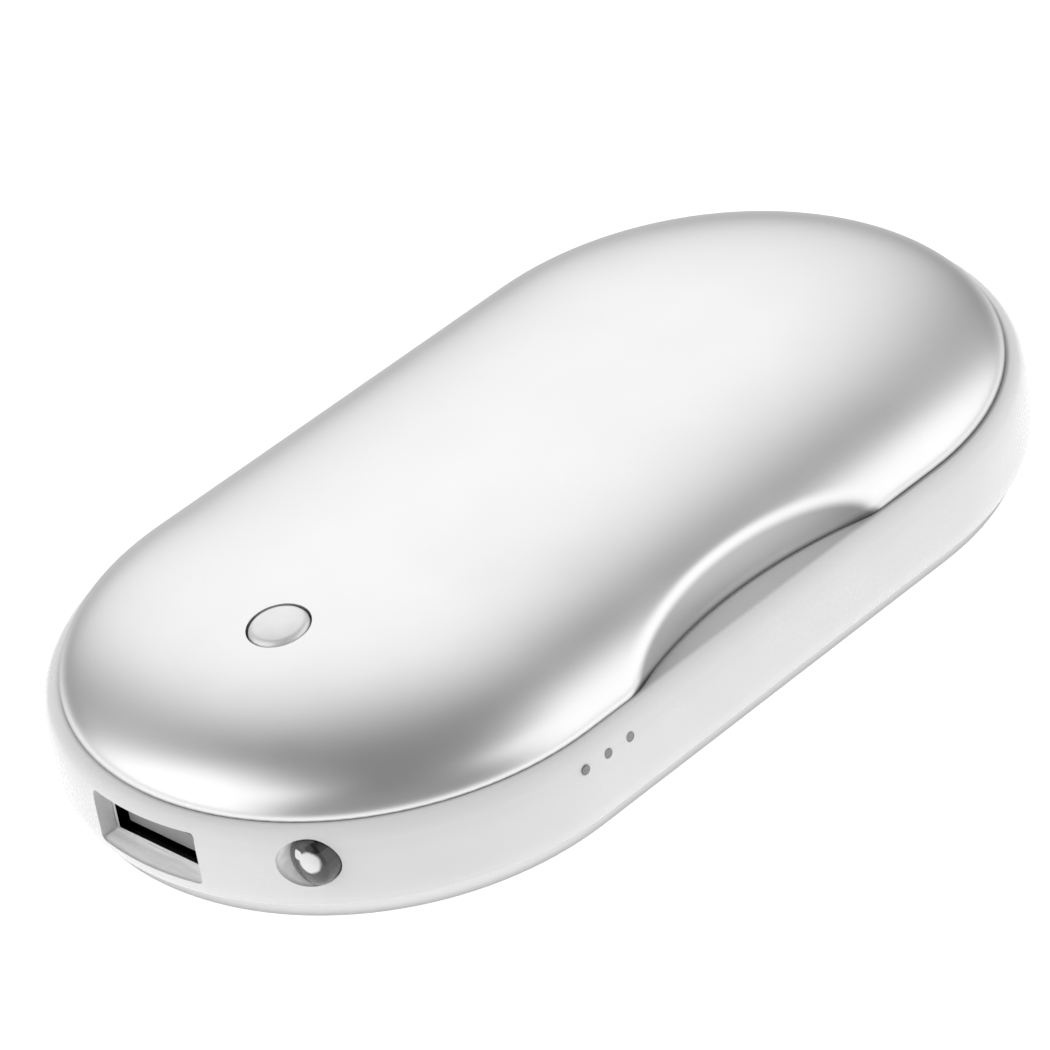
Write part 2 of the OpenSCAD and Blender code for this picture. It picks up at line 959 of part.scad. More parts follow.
module charge_lights() {
    color("ivory")
        for (i = [-1 : 1])
            block(
                [light_x + i * light_pitch, -chip_light_y, board_top + chip_light_h / 2],
                [chip_light_w / 2, chip_light_w, chip_light_h]
            );
}

module cell_cans() {
    color("silver")
        at_cells()
            translate([0, 0, cell_x + cap_h])
                cylinder(h = cell_l - cap_h, r = can_r);
}

module cell_wraps() {
    color("mediumseagreen")
        at_cells()
            difference() {
                translate([0, 0, cell_x + cap_h])
                    cylinder(h = cell_l - cap_h, r = cell_r);
                translate([0, 0, cell_x + cap_h - over])
                    cylinder(h = cell_l - cap_h + 2 * over, r = can_r + snug);
            }
}

module cell_caps() {
    color("silver")
        at_cells()
            translate([0, 0, cell_x])
                cylinder(h = cap_h, r = cap_r);
}

module cell_insulators() {
    color("wheat")
        at_cells()
            difference() {
                translate([0, 0, cell_x + cap_h - ring_t])
                    cylinder(h = ring_t, r = can_r);
                translate([0, 0, cell_x + cap_h - ring_t - over])
                    cylinder(h = ring_t + 2 * over, r = cap_r + ring_gap);
            }
}

module strip_at(x) {
    block([x, 0, mid_z], [strip_t, 2 * (cell_y + strip_reach), strip_h]);
}

module positive_strip() {
    color("lightgray")
        strip_at(cell_x - strip_t / 2);
}

module negative_strip() {
    color("lightgray")
        strip_at(cell_far_x + strip_t / 2);
}

module battery_lead_red() {
    x = cell_x - strip_t;
    land = [near_x + lead_land_inset, red_land_y, board_top];
    color("red")
        wire(
            [
                [x, red_y, mid_z + strip_h / 4],
                [x - wire_bend - thick_wire_r, red_y, mid_z + strip_h / 4],
                land + [0, 0, wire_rise],
                land
            ],
            thick_wire_r, [0, 1, 0]
        );
}

module battery_lead_black() {
    x = cell_far_x + strip_t;
    valley = mid_z + sqrt(pow(cell_r + thick_wire_r + 2 * fit, 2) - pow(cell_y, 2));
    land = [near_x + lead_land_inset, black_land_y, board_top];
    color("black")
        wire(
            [
                [x, 0, mid_z + strip_h / 4],
                [x + wire_bend + thick_wire_r, 0, mid_z + strip_h / 4],
                [x + wire_bend, 0, valley],
                [x - 2 * wire_bend, 0, valley],
                [cell_x + 2 * wire_bend, 0, valley],
                [cell_x - 2 * wire_bend, 0, valley],
                land + [0, 0, wire_rise],
                land
            ],
            thick_wire_r, [0, 1, 0]
        );
}

module top_heater() {
    color("orange")
        layer(heater_in, heater_t, heater_x, heater_far_x, true);
}

module bottom_heater() {
    color("orange")
        layer(heater_in, heater_t, heater_x, heater_far_x, false);
}

module top_pad() {
    color("dimgray")
        layer(pad_in, pad_t, pad_x, heater_far_x, true);
}

module bottom_pad() {
    color("dimgray")
        layer(pad_in, pad_t, pad_x, heater_far_x, false);
}

module top_heater_leads() {
    under = dome_rise(heater_in + heater_t, heater_lead_y + 2 * thin_wire_r);
    z = high_z + under - thin_wire_r - 2 * fit;
    color("white")
        for (side = [-1, 1]) {
            land = [drop_x - wire_bend, side * top_land_y, board_top];
            wire(
                [
                    [heater_x + 2 * wire_bend, side * heater_lead_y, z],
                    [heater_x - wire_bend, side * heater_lead_y, z],
                    [drop_x, side * heater_lead_y, high_z + carrier_h],
                    [drop_x, side * top_land_y, mid_z + strip_h / 2],
                    land + [0, 0, wire_rise],
                    land
                ],
                thin_wire_r, [0, 1, 0]
            );
        }
}

module bottom_heater_leads() {
    color("white")
        for (side = [-1, 1])
            wire(
                [
                    [heater_x + 2 * wire_bend, side * bottom_lead_y, bottom_lead_z],
                    [bulkhead_x - wire_bend, side * bottom_lead_y, bottom_lead_z],
                    [bottom_lead_x, side * bottom_lead_y, bottom_lead_z + wire_rise],
                    [bottom_lead_x, side * bottom_lead_y, board_z]
                ],
                thin_wire_r, [0, 1, 0]
            );
}

module temperature_sensor() {
    z = high_z + dome_rise(heater_in + heater_t, sensor_r) - sensor_r - fit;
    color("tan")
        rod_x(heater_x + snug, heater_x + snug + sensor_l, 0, z, sensor_r);
}

module sensor_leads() {
    z = high_z + dome_rise(heater_in + heater_t, sensor_r) - sensor_r - fit;
    color("khaki")
        for (side = [-1, 1]) {
            y = sensor_land_y + side * sensor_r / 2;
            land = [drop_x - wire_bend, y, board_top];
            wire(
                [
                    [heater_x, side * sensor_r / 2, z],
                    [heater_x - wire_bend, side * sensor_r / 2, z],
                    [drop_x, y, high_z + carrier_h],
                    [drop_x, y, mid_z + strip_h / 2],
                    land + [0, 0, wire_rise],
                    land
                ],
                fine_wire_r, [0, 1, 0]
            );
        }
}

module boost_coil() {
    color("darkslategray")
        block([near_x + coil_inset, coil_y, board_top + coil_h / 2], [coil_w, coil_w, coil_h]);
}

// Chip package with its rows of legs
module chip(inset, y, l, legs) {
    pitch = l / legs;
    x0 = near_x + inset - l / 2;
    span(
        [x0, y - chip_w / 2, board_top + chip_stand],
        [x0 + l, y + chip_w / 2, board_top + chip_h]
    );
    for (side = [-1, 1], i = [0 : legs - 1])
        block(
            [x0 + (i + 1 / 2) * pitch, y + side * chip_w / 2, board_top + chip_leg_t / 2],
            [chip_leg_w, 2 * chip_leg_out, chip_leg_t]
        );
}

module charge_chip() {
    color("black")
        chip(charge_chip_inset, charge_chip_y, charge_chip_l, 4);
}

module control_chip() {
    color("black")
        chip(control_chip_inset, control_chip_y, control_chip_l, 8);
}

module capacitors() {
    color("tan")
        for (i = [0 : 2])
            block(
                [near_x + cap_inset + i * cap_pitch, cap_y, board_top + cap_w / 2],
                [cap_l, cap_w, cap_w]
            );
}

// Pan head screw, pointing up, with a cross recess in its head
module screw(l) {
    difference() {
        union() {
            translate([0, 0, -head_h])
                cylinder(h = head_h, r = head_r);
            cylinder(h = l, r = screw_d / 2);
        }
        for (turn = [0, 90])
            rotate([0, 0, turn])
                block([0, 0, -head_h], [head_r, head_slot_w, head_h]);
    }
}

module long_screws() {
    color("silver")
        at_bosses()
            translate([0, 0, boss_low_z])
                screw(long_screw_l);
}

module board_screws() {
    color("silver")
        for (place = board_screw_places)
            translate([place[0], place[1], board_top])
                mirror([0, 0, 1])
                    screw(board_screw_l);
}

top_cover();
bottom_cover();
side_band();
top_carrier();
bottom_carrier();
power_button();
switch_body();
switch_plunger();
circuit_board();
usb_a_shell();
usb_a_tongue();
usb_a_contacts();
inlet_shell();
inlet_tongue();
inlet_contacts();
torch_lamp();
torch_lamp_frame();
torch_lamp_holder();
light_pipe();
charge_lights();
cell_cans();
cell_wraps();
cell_caps();
cell_insulators();
positive_strip();
negative_strip();
battery_lead_red();
battery_lead_black();
top_heater();
bottom_heater();
top_pad();
bottom_pad();
top_heater_leads();
bottom_heater_leads();
temperature_sensor();
sensor_leads();
boost_coil();
charge_chip();
control_chip();
capacitors();
long_screws();
board_screws();
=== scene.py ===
# Rechargeable hand warmer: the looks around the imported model, in metres
import math

import bmesh
import bpy
from mathutils import Matrix, Vector


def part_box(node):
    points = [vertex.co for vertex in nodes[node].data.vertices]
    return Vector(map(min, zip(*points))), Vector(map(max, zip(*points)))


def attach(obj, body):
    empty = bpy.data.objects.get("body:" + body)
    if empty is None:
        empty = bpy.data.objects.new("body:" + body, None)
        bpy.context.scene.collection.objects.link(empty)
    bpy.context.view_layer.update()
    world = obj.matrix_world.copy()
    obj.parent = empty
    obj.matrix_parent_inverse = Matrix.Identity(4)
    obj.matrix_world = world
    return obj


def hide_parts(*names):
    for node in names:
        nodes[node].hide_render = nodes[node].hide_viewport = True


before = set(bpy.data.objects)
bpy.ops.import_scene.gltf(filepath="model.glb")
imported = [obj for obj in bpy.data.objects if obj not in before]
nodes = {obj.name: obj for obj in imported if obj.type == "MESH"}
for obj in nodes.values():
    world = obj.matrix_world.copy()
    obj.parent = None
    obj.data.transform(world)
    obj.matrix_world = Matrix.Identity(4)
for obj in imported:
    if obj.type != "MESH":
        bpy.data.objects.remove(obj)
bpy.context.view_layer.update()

mm = 0.001
nearly = 0.01 * mm                      # what keeps a test or a rounding off an exact limit

# The body's driving sizes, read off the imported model
bandLow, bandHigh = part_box("side_band")
bandRadius = bandHigh.y
straight = bandHigh.x - bandRadius      # half length of the straight sides
lowSeam, highSeam = bandLow.z, bandHigh.z
bandMiddle = (lowSeam + highSeam) / 2
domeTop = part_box("top_cover")[1].z
domeRise = domeTop - highSeam

coverSettings = {
    "power": 2.03,                      # of the dome's curve; 2 is an ellipse
    "inset": 1.8 * mm,                  # of the seam from the widest part of the band
    "wall": 0.8 * mm,
    "seamGap": 0.02 * mm,
    "hem": 0.1 * mm,                    # radius of the rolled edge at the seam
    "outerRows": 72,
    "innerRows": 20,
    "hemRows": 3,
    "endCuts": 64,
    "scoopCuts": 130,                   # along the side that the scoop is pressed into
    "plainCuts": 30,
}
seamRadius = bandRadius - coverSettings["inset"]


def clearSelection():
    if bpy.context.mode != "OBJECT":
        bpy.ops.object.mode_set(mode="OBJECT")
    bpy.ops.object.select_all(action="DESELECT")


def pickPiece(piece):                   # this piece alone is selected and active
    clearSelection()
    piece.select_set(True)
    bpy.context.view_layer.objects.active = piece


def editPiece(piece):
    pickPiece(piece)
    bpy.ops.object.mode_set(mode="EDIT")
    bpy.ops.mesh.select_mode(type="VERT")
    bpy.ops.mesh.select_all(action="DESELECT")


def startVertex(name):                  # a small plane, merged to one vertex
    clearSelection()
    bpy.ops.mesh.primitive_plane_add(size=mm)
    piece = bpy.context.object
    piece.name = name
    bpy.ops.object.mode_set(mode="EDIT")
    bpy.ops.mesh.select_mode(type="VERT")
    bpy.ops.mesh.merge(type="CENTER")
    return piece


def drawProfile(points, closed=False):  # the vertex is extruded from point to point
    bpy.ops.transform.translate(value=points[0])
    for before, after in zip(points, points[1:]):
        bpy.ops.mesh.extrude_region_move(TRANSFORM_OT_translate={"value": after - before})
    bpy.ops.mesh.select_all(action="SELECT")
    if closed:                          # an edge joins the last point to the first
        mesh = bmesh.from_edit_mesh(bpy.context.object.data)
        ends = [v for v in mesh.verts if len(v.link_edges) == 1]
        mesh.edges.new(ends)
        mesh.select_mode = {"VERT"}
        bmesh.update_edit_mesh(bpy.context.object.data)
        bpy.ops.mesh.select_all(action="SELECT")


def selectEdges(test):                  # edges are picked by the place of their ends
    mesh = bmesh.from_edit_mesh(bpy.context.object.data)
    for part in (mesh.verts, mesh.edges, mesh.faces):
        for item in part:
            item.select = False
    for edge in mesh.edges:
        if test(edge.verts[0].co, edge.verts[1].co):
            edge.select = True
            for vertex in edge.verts:
                vertex.select = True
    bmesh.update_edit_mesh(bpy.context.object.data)


def closeMesh(gap=0.004 * mm):
    bpy.ops.mesh.select_all(action="SELECT")
    bpy.ops.mesh.remove_doubles(threshold=gap)
    bpy.ops.mesh.normals_make_consistent(inside=False)


def sweepRound(endCuts, frontCuts, backCuts):
    # a profile at the start of the front side goes once round the body
    for side in (1, -1):
        bpy.ops.mesh.extrude_region_move(
            TRANSFORM_OT_translate={"value": (side * 2 * straight, 0, 0)})
        bpy.ops.mesh.spin(
            steps=endCuts, angle=-math.pi, center=(side * straight, 0, 0), axis=(0, 0, 1))
    closeMesh()
    for side, cuts in ((-1, frontCuts), (1, backCuts)):
        bpy.ops.mesh.select_mode(type="EDGE")
        selectEdges(lambda a, b: abs(a.x - b.x) > straight and side * (a.y + b.y) > -nearly)
        bpy.ops.mesh.subdivide(number_cuts=cuts - 1)
        bpy.ops.mesh.select_mode(type="VERT")


def spinProfile(name, points, centre, axis, cuts):
    # a profile is turned once round an axis
    piece = startVertex(name)
    drawProfile(points)
    bpy.ops.mesh.spin(steps=cuts, angle=2 * math.pi, center=centre, axis=axis)
    closeMesh()
    bpy.ops.object.mode_set(mode="OBJECT")
    return piece


def addCutter(shape, place, turn=(0, 0, 0), size=(1, 1, 1)):
    # a rod's size is its radius twice and its half length, a box's is half of each side
    clearSelection()
    if shape == "rod":
        bpy.ops.mesh.primitive_cylinder_add(
            vertices=96, radius=1, depth=2, location=place, rotation=turn)
    else:
        bpy.ops.mesh.primitive_cube_add(size=2, location=place, rotation=turn)
    cutter = bpy.context.object
    cutter.scale = size
    bpy.ops.object.transform_apply(location=True, rotation=True, scale=True)
    return cutter


def cutAway(piece, cutter):
    pickPiece(piece)
    cut = piece.modifiers.new("cut", "BOOLEAN")
    cut.operation = "DIFFERENCE"
    cut.solver = "EXACT"
    cut.object = cutter
    bpy.ops.object.modifier_apply(modifier=cut.name)
    bpy.data.objects.remove(cutter)


def roundedCutter(low, high, radius, along):
    # a box whose edges along one axis are rounded
    half = (Vector(high) - Vector(low)) / 2
    cutter = addCutter("box", (Vector(low) + Vector(high)) / 2, size=half)
    editPiece(cutter)
    bpy.ops.mesh.select_mode(type="EDGE")
    selectEdges(lambda a, b: abs(a[along] - b[along]) > half[along])
    bpy.ops.mesh.bevel(offset=radius, segments=6, affect="EDGES")
    bpy.ops.object.mode_set(mode="OBJECT")
    return cutter


def smoothPiece(piece, angle):          # edges sharper than this many degrees stay sharp
    pickPiece(piece)
    bpy.ops.object.shade_smooth_by_angle(angle=math.radians(angle))


# Shader maths: a socket that sums and products can be written with
class Value:
    def __init__(self, finish, socket):
        self.finish, self.socket = finish, socket

    def maths(self, operation, *inputs):
        return self.finish.node("ShaderNodeMath", {"operation": operation}, dict(enumerate(inputs)))

    def __add__(self, other):
        return self.maths("ADD", self, other)

    def __sub__(self, other):
        return self.maths("SUBTRACT", self, other)

    def __rsub__(self, other):
        return self.maths("SUBTRACT", other, self)

    def __mul__(self, other):
        return self.maths("MULTIPLY", self, other)

    def __truediv__(self, other):
        return self.maths("DIVIDE", self, other)

    def __rtruediv__(self, other):
        return self.maths("DIVIDE", other, self)

    def __pow__(self, other):
        return self.maths("POWER", self, other)

    def size(self):
        return self.maths("ABSOLUTE", self)

    def __gt__(self, other):
        return self.maths("GREATER_THAN", self, other)

    def __lt__(self, other):
        return self.maths("LESS_THAN", self, other)

    __radd__, __rmul__ = __add__, __mul__


class Nodes:                            # a node tree, and the one method that adds to it
    def node(self, kind, settings=None, inputs=None, output=0):
        made = self.tree.nodes.new(kind)
        for name, value in (settings or {}).items():
            setattr(made, name, value)
        for name, value in (inputs or {}).items():
            if isinstance(value, Value):
                self.tree.links.new(value.socket, made.inputs[name])
            else:
                made.inputs[name].default_value = value
        return Value(self, made.outputs[output])

    def parts(self, vector):
        made = self.node("ShaderNodeSeparateXYZ", {}, {"Vector": vector}).socket.node
        return [Value(self, out) for out in made.outputs]

    def between(self, value, low, high, newLow=0, newHigh=1, curve="LINEAR"):
        return self.node("ShaderNodeMapRange", {"clamp": True, "interpolation_type": curve}, {
            "Value": value, "From Min": low, "From Max": high, "To Min": newLow, "To Max": newHigh})

    def fade(self, value, low, high, share=1):  # the share up to low, and nothing past high
        return self.between(value, low, high, share, 0)

    def spread(self, noise, low=0, high=1):     # most of a noise lies between 0.3 and 0.7
        return self.between(noise, 0.3, 0.7, low, high)

    def mixColours(self, share, first, second):
        inputs = {0: share, 6: first, 7: second}
        return self.node("ShaderNodeMix", {"data_type": "RGBA"}, inputs, 2)


class Finish(Nodes):
    def __init__(self, name, **constants):
        self.material = bpy.data.materials.new(name)
        self.material.use_nodes = True
        self.tree = self.material.node_tree
        self.shader = self.tree.nodes["Principled BSDF"]
        for socket, value in constants.items():
            self.shader.inputs[socket.replace("_", " ")].default_value = value
        self.place = self.node("ShaderNodeTexCoord", output="Object")

    def grain(self, size, detail=2, rough=0.5, stretch=None):  # size in metres
        place = self.place
        if stretch:
            place = self.node("ShaderNodeMapping", {}, {"Vector": place, "Scale": stretch})
        return self.node("ShaderNodeTexNoise", {}, {
            "Vector": place, "Scale": 1 / size, "Detail": detail, "Roughness": rough})

    def axes(self):
        return self.parts(self.place)

    def reach(self, x, y):              # distance from the body's long middle line
        past = x.size() - straight
        past = past.maths("MAXIMUM", past, 0)
        return (past * past + y * y) ** 0.5

    def mixedRough(self, fine, wide, fineShare, limits):  # two noises make the roughness uneven
        return self.between(fine * fineShare + wide * (1 - fineShare), 0.35, 0.65, *limits)

    def bump(self, height, strength, distance):
        return self.node("ShaderNodeBump", {}, {
            "Height": height, "Strength": strength, "Distance": distance})

    def feed(self, **links):
        for name, value in links.items():
            self.tree.links.new(value.socket, self.shader.inputs[name.replace("_", " ")])
        return self.material


def grey(level):
    return (level, level, level, 1)


pearlSettings = {
    "dark": 0.82,
    "light": 0.84,
    "edge": 0.50,                       # tint of the metal seen at a grazing angle
    "lowerShadeShare": 0.80,                 # painted shade: the bottom shell's tone, as a share of the dark one
    "roughness": (0.30, 0.33),
    "grainSize": 0.16 * mm,
    "grainShare": 0.2,                  # of the grains in the roughness; the clouds are the rest
    "cloudSize": 9 * mm,
    "waveSize": 7 * mm,
    "waveDepth": 0.02 * mm,
    "waveStrength": 0.4,
    "scratchSize": 1.6 * mm,
    "scratchStretch": (0.14, 1, 2.6),   # scratches run along the body
    "scratchStart": (0.60, 0.66),       # levels of the streaks' noise where a scratch begins
    "scratchPatches": (0.5, 0.62),      # and of the clouds' noise
    "scratchReach": 2.2 * mm,           # from a seam
    "scratchShare": 0.3,
    "scratchTone": 0.95,
    "scratchGloss": 0.08,
    "scratchDepth": 0.1,                # as a share of the waves' depth
    "seamHeight": (0.05 * mm, 0.65 * mm),
    "seamFrom": (8 * mm, 20 * mm),      # painted shade along the upper seam to the right of this
    "seamShare": 0.5,
    "seamShadeTone": 0.25,
}


def pearlMetal():                       # bead-blasted aluminium, slightly worn near the seams, with painted shade in the scoop, at the upper seam and on the bottom shell
    s, scoop = pearlSettings, scoopSettings
    finish = Finish("pearlMetal", Metallic=1.0, Specular_Tint=grey(s["edge"]))
    x, y, z = finish.axes()
    above, height = z > bandMiddle, z - highSeam
    grains = finish.grain(s["grainSize"], detail=3, rough=0.7)
    clouds = finish.grain(s["cloudSize"], detail=3)
    streaks = finish.grain(s["scratchSize"], detail=4, rough=0.6, stretch=s["scratchStretch"])
    seam = highSeam - bandMiddle
    nearSeam = finish.fade((z - bandMiddle).size(), seam, seam + s["scratchReach"])
    scratches = finish.between(streaks, *s["scratchStart"]) * nearSeam
    scratches = scratches * finish.between(clouds, *s["scratchPatches"])
    tone = finish.mixColours(finish.spread(grains), grey(s["dark"]), grey(s["light"]))
    tone = finish.mixColours(scratches * s["scratchShare"], tone, grey(s["scratchTone"]))

    # Painted shade: the scoop's wall is darker where it mirrors the shaded ledge, most of all in its
    # corners
    dome = finish.between(1 - (finish.reach(x, y) / seamRadius) ** 2, 0, 1) ** 0.5 * domeRise
    depth = dome - height               # of the wall below the dome that it was pressed from
    pressed = finish.between(depth, *scoop["shadeStart"], 0, 1, "SMOOTHSTEP") * above
    lowShade, highShade = scoop["shade"]
    wall = finish.mixColours(
        finish.between(height, 0, scoop["shadeRise"]), grey(lowShade), grey(highShade))
    tone = finish.mixColours(pressed, tone, wall)
    # painted shade, darkest in the scoop's corners
    cornerStart, cornerFull = [scoop["chord"] / 2 - inset for inset in scoop["cornerInset"]]
    corners = finish.between((x - scoop["middle"]).size(), cornerStart, cornerFull)
    corners = corners * finish.fade(height, *scoop["cornerHeight"], scoop["cornerShare"])
    corners = corners * (y < 0) * above * finish.between(depth, *scoop["cornerDepth"])
    tone = finish.mixColours(corners, tone, grey(scoop["cornerShadeTone"]))
    # painted shade along the wall's foot
    foot = finish.fade(height, *scoop["footHeight"], scoop["footShare"]) * pressed
    tone = finish.mixColours(foot, tone, grey(scoop["footShadeTone"]))

    # painted shade: a dark line along the right part of the upper seam
    seamShade = finish.fade(height, *s["seamHeight"], s["seamShare"])
    seamShade = seamShade * finish.between(x, *s["seamFrom"]) * above * (1 - pressed)
    tone = finish.mixColours(seamShade, tone, grey(s["seamShadeTone"]))
    # painted shade: the bottom shell is darker
    tone = finish.mixColours(z < bandMiddle, tone, grey(s["dark"] * s["lowerShadeShare"]))
    rough = finish.mixedRough(grains, clouds, s["grainShare"], s["roughness"])
    relief = finish.grain(s["waveSize"], detail=1) - scratches * s["scratchDepth"]
    return finish.feed(
        Base_Color=tone, Roughness=rough - scratches * s["scratchGloss"],
        Normal=finish.bump(relief, s["waveStrength"], s["waveDepth"]))


whiteSettings = {                       # distances are from the seam's edge unless a note says so
    "tones": (0.79, 0.83),
    "roughness": (0.20, 0.30),
    "cloudSize": 14 * mm,
    "dustSize": 0.35 * mm,
    "dustShare": 0.5,                   # of the dust in the roughness; the clouds are the rest
    "rippleSize": 1.1 * mm,
    "rippleStrength": 0.10,
    "rippleDepth": 0.02 * mm,
    "shoulder": (-2 * mm, -0.3 * mm),   # heights from the upper seam, where the bulge turns in and is painted lighter
    "shoulderTone": 0.93,
    "ledgeEdge": (-0.2 * mm, 0.35 * mm),
    "ledgeRun": (-2.9 * mm, -0.4 * mm),     # painted shade on the ledge that the scoop bares, darker outwards
    "ledgeShadeTones": (0.86, 0.66),
    "ledgeHeight": 0.1 * mm,            # the ledge lies no further than this below the upper seam
    "crease": (0.1 * mm, 0.45 * mm),
    "creaseFrom": (12 * mm, 20 * mm),   # painted shade along the upper seam to the right of this
    "creaseShare": 0.6,
    "creaseShadeTone": 0.22,
    "foot": (0.1 * mm, 1.1 * mm),       # heights from the lower seam, over which the band is painted darker in shade
    "footShadeTone": 0.66,
    "openingInset": (0.45 * mm, 0.15 * mm),     # from the band's outside
    "openingHeight": 3.3 * mm,          # from the band's middle
    "openingGlow": 0.24,                # painted light: a glow given to the band's faces in the openings
    # streaks that break up the painted glow
    "streakSize": 0.8 * mm,
    "streakStretch": (1, 0.15, 1),
    "streakStart": (0.35, 0.7),
    "streakShare": 0.5,
}


def whiteGloss():                       # glossy moulded plastic of the band, with painted light and shade
    s = whiteSettings
    finish = Finish("whiteGloss", Coat_Weight=0.08, Coat_Roughness=0.12, IOR=1.3, Emission_Strength=1)
    x, y, z = finish.axes()
    clouds = finish.grain(s["cloudSize"])
    ripple = finish.grain(s["rippleSize"])
    dust = finish.grain(s["dustSize"], detail=3, rough=0.6)
    streaks = finish.grain(s["streakSize"], stretch=s["streakStretch"])
    dark, light = s["tones"]
    tone = finish.mixColours(finish.spread(clouds), grey(dark), grey(light))
    # painted light: the upper shoulder is lighter
    shoulder = finish.between(z - highSeam, *s["shoulder"])
    tone = finish.mixColours(shoulder, tone, grey(s["shoulderTone"]))
    reach = finish.reach(x, y)
    pastSeam = reach - seamRadius
    # painted shade on the ledge that the scoop bares
    ledge = finish.fade(pastSeam, *s["ledgeEdge"]) * (z > highSeam - s["ledgeHeight"])
    innerTone, outerTone = s["ledgeShadeTones"]
    ledgeTone = finish.mixColours(
        finish.between(pastSeam, *s["ledgeRun"]), grey(innerTone), grey(outerTone))
    tone = finish.mixColours(ledge, tone, ledgeTone)
    # painted shade: a dark line along the right part of the upper seam
    crease = finish.fade(pastSeam, *s["crease"], s["creaseShare"])
    crease = crease * finish.between(x, *s["creaseFrom"]) * (z > bandMiddle)
    tone = finish.mixColours(crease, tone, grey(s["creaseShadeTone"]))
    # painted shade towards the band's foot
    tone = finish.mixColours(finish.fade(z - bandFoot, *s["foot"]), tone, grey(s["footShadeTone"]))

    # painted light: the openings glow, broken up by streaks
    inner, outer = [bandRadius - inset for inset in s["openingInset"]]
    openings = finish.fade(reach, inner, outer)
    openings = openings * ((z - bandMiddle).size() < s["openingHeight"]) * (y < socketHigh.y)
    glow = finish.mixColours(openings, grey(0), grey(s["openingGlow"]))
    streaky = finish.between(streaks, *s["streakStart"]) * s["streakShare"]
    glow = finish.mixColours(streaky, glow, grey(0))
    return finish.feed(
        Base_Color=tone, Roughness=finish.mixedRough(dust, clouds, s["dustShare"], s["roughness"]),
        Emission_Color=glow, Normal=finish.bump(ripple, s["rippleStrength"], s["rippleDepth"]))


plasticSettings = {
    "darker": 0.88, "cloudSize": 5 * mm, "fineSize": 0.25 * mm,
    "smoother": 0.08, "rougher": 0.08, "strength": 0.2, "depth": 0.02 * mm,
}
platingSettings = {
    "darker": 0.85, "cloudSize": 3 * mm, "lineSize": 0.5 * mm,
    "smoother": 0.06, "rougher": 0.08, "strength": 0.15, "depth": 0.01 * mm,
}


def mouldedPlastic(name, colour, rough=0.5):    # satin, and slightly uneven
    s = plasticSettings
    finish = Finish(name)
    clouds = finish.grain(s["cloudSize"])
    fine = finish.grain(s["fineSize"], detail=3, rough=0.6)
    darker = tuple(s["darker"] * part for part in colour)
    return finish.feed(
        Base_Color=finish.mixColours(finish.spread(clouds), darker + (1,), colour + (1,)),
        Roughness=finish.spread(fine, rough - s["smoother"], rough + s["rougher"]),
        Normal=finish.bump(fine, s["strength"], s["depth"]))


def platedMetal(name, colour, rough=0.25, brushed=None):
    s = platingSettings
    finish = Finish(name, Metallic=1.0)
    lines = finish.grain(s["lineSize"], detail=3, rough=0.6, stretch=brushed)
    clouds = finish.grain(s["cloudSize"])
    darker = tuple(s["darker"] * part for part in colour)
    return finish.feed(
        Base_Color=finish.mixColours(finish.spread(clouds), darker + (1,), colour + (1,)),
        Roughness=finish.spread(lines, rough - s["smoother"], rough + s["rougher"]),
        Normal=finish.bump(lines, s["strength"], s["depth"]))


shellSettings = {
    "wall": 0.2 * mm,
    "lip": 0.03 * mm,                   # depth of the painted highlight on the rim at the mouth
    "tones": (0.66, 0.78),
    "insideShadeTone": 0.008,
    "lipHighlightTone": 0.88,
    "roughness": (0.24, 0.36),
    "fineSize": 0.5 * mm,
    "strength": 0.15,
    "depth": 0.01 * mm,
}


def socketMetal(name, low, high, along):
    # plated shell, with a painted highlight on its rim and painted shade inside
    s = shellSettings
    finish = Finish(name)
    middle, half = (low + high) / 2, (high - low) / 2
    fromMiddle = [(axis - centre).size() for axis, centre in zip(finish.axes(), middle)]
    first, second = [axis for axis in range(3) if axis != along]
    inside = fromMiddle[first] < half[first] - s["wall"]
    inside = inside * (fromMiddle[second] < half[second] - s["wall"])
    mouth = fromMiddle[along] > half[along] - s["lip"]
    fine = finish.grain(s["fineSize"], detail=3, rough=0.6)
    dark, light = s["tones"]
    tone = finish.mixColours(finish.spread(fine), grey(dark), grey(light))
    # painted shade inside, painted highlight on the rim
    tone = finish.mixColours(inside, tone, grey(s["insideShadeTone"]))
    tone = finish.mixColours(mouth, tone, grey(s["lipHighlightTone"]))
    return finish.feed(
        Base_Color=tone, Metallic=1 - mouth, Roughness=finish.spread(fine, *s["roughness"]),
        Normal=finish.bump(fine, s["strength"], s["depth"]))


boardSettings = {
    "coat": 0.4, "coatRoughness": 0.15,
    "pitch": 0.6 * mm, "width": 0.18 * mm, "wander": 1.5 * mm, "wanderSize": 6 * mm,
    "film": (0.012, 0.13, 0.05, 1), "track": (0.03, 0.22, 0.09, 1),
    "fineSize": 0.3 * mm, "roughness": (0.28, 0.42),
    "fineShare": 0.2, "strength": 0.3, "depth": 0.03 * mm,
}
heaterSettings = {
    "coat": 0.3, "coatRoughness": 0.2,
    "pitch": 1.5 * mm, "width": 0.5 * mm, "wander": 0, "wanderSize": 6 * mm,
    "film": (0.55, 0.25, 0.05, 1), "track": (0.30, 0.17, 0.08, 1),
    "fineSize": 0.6 * mm, "roughness": (0.3, 0.45),
    "fineShare": 0.2, "strength": 0.3, "depth": 0.03 * mm,
}


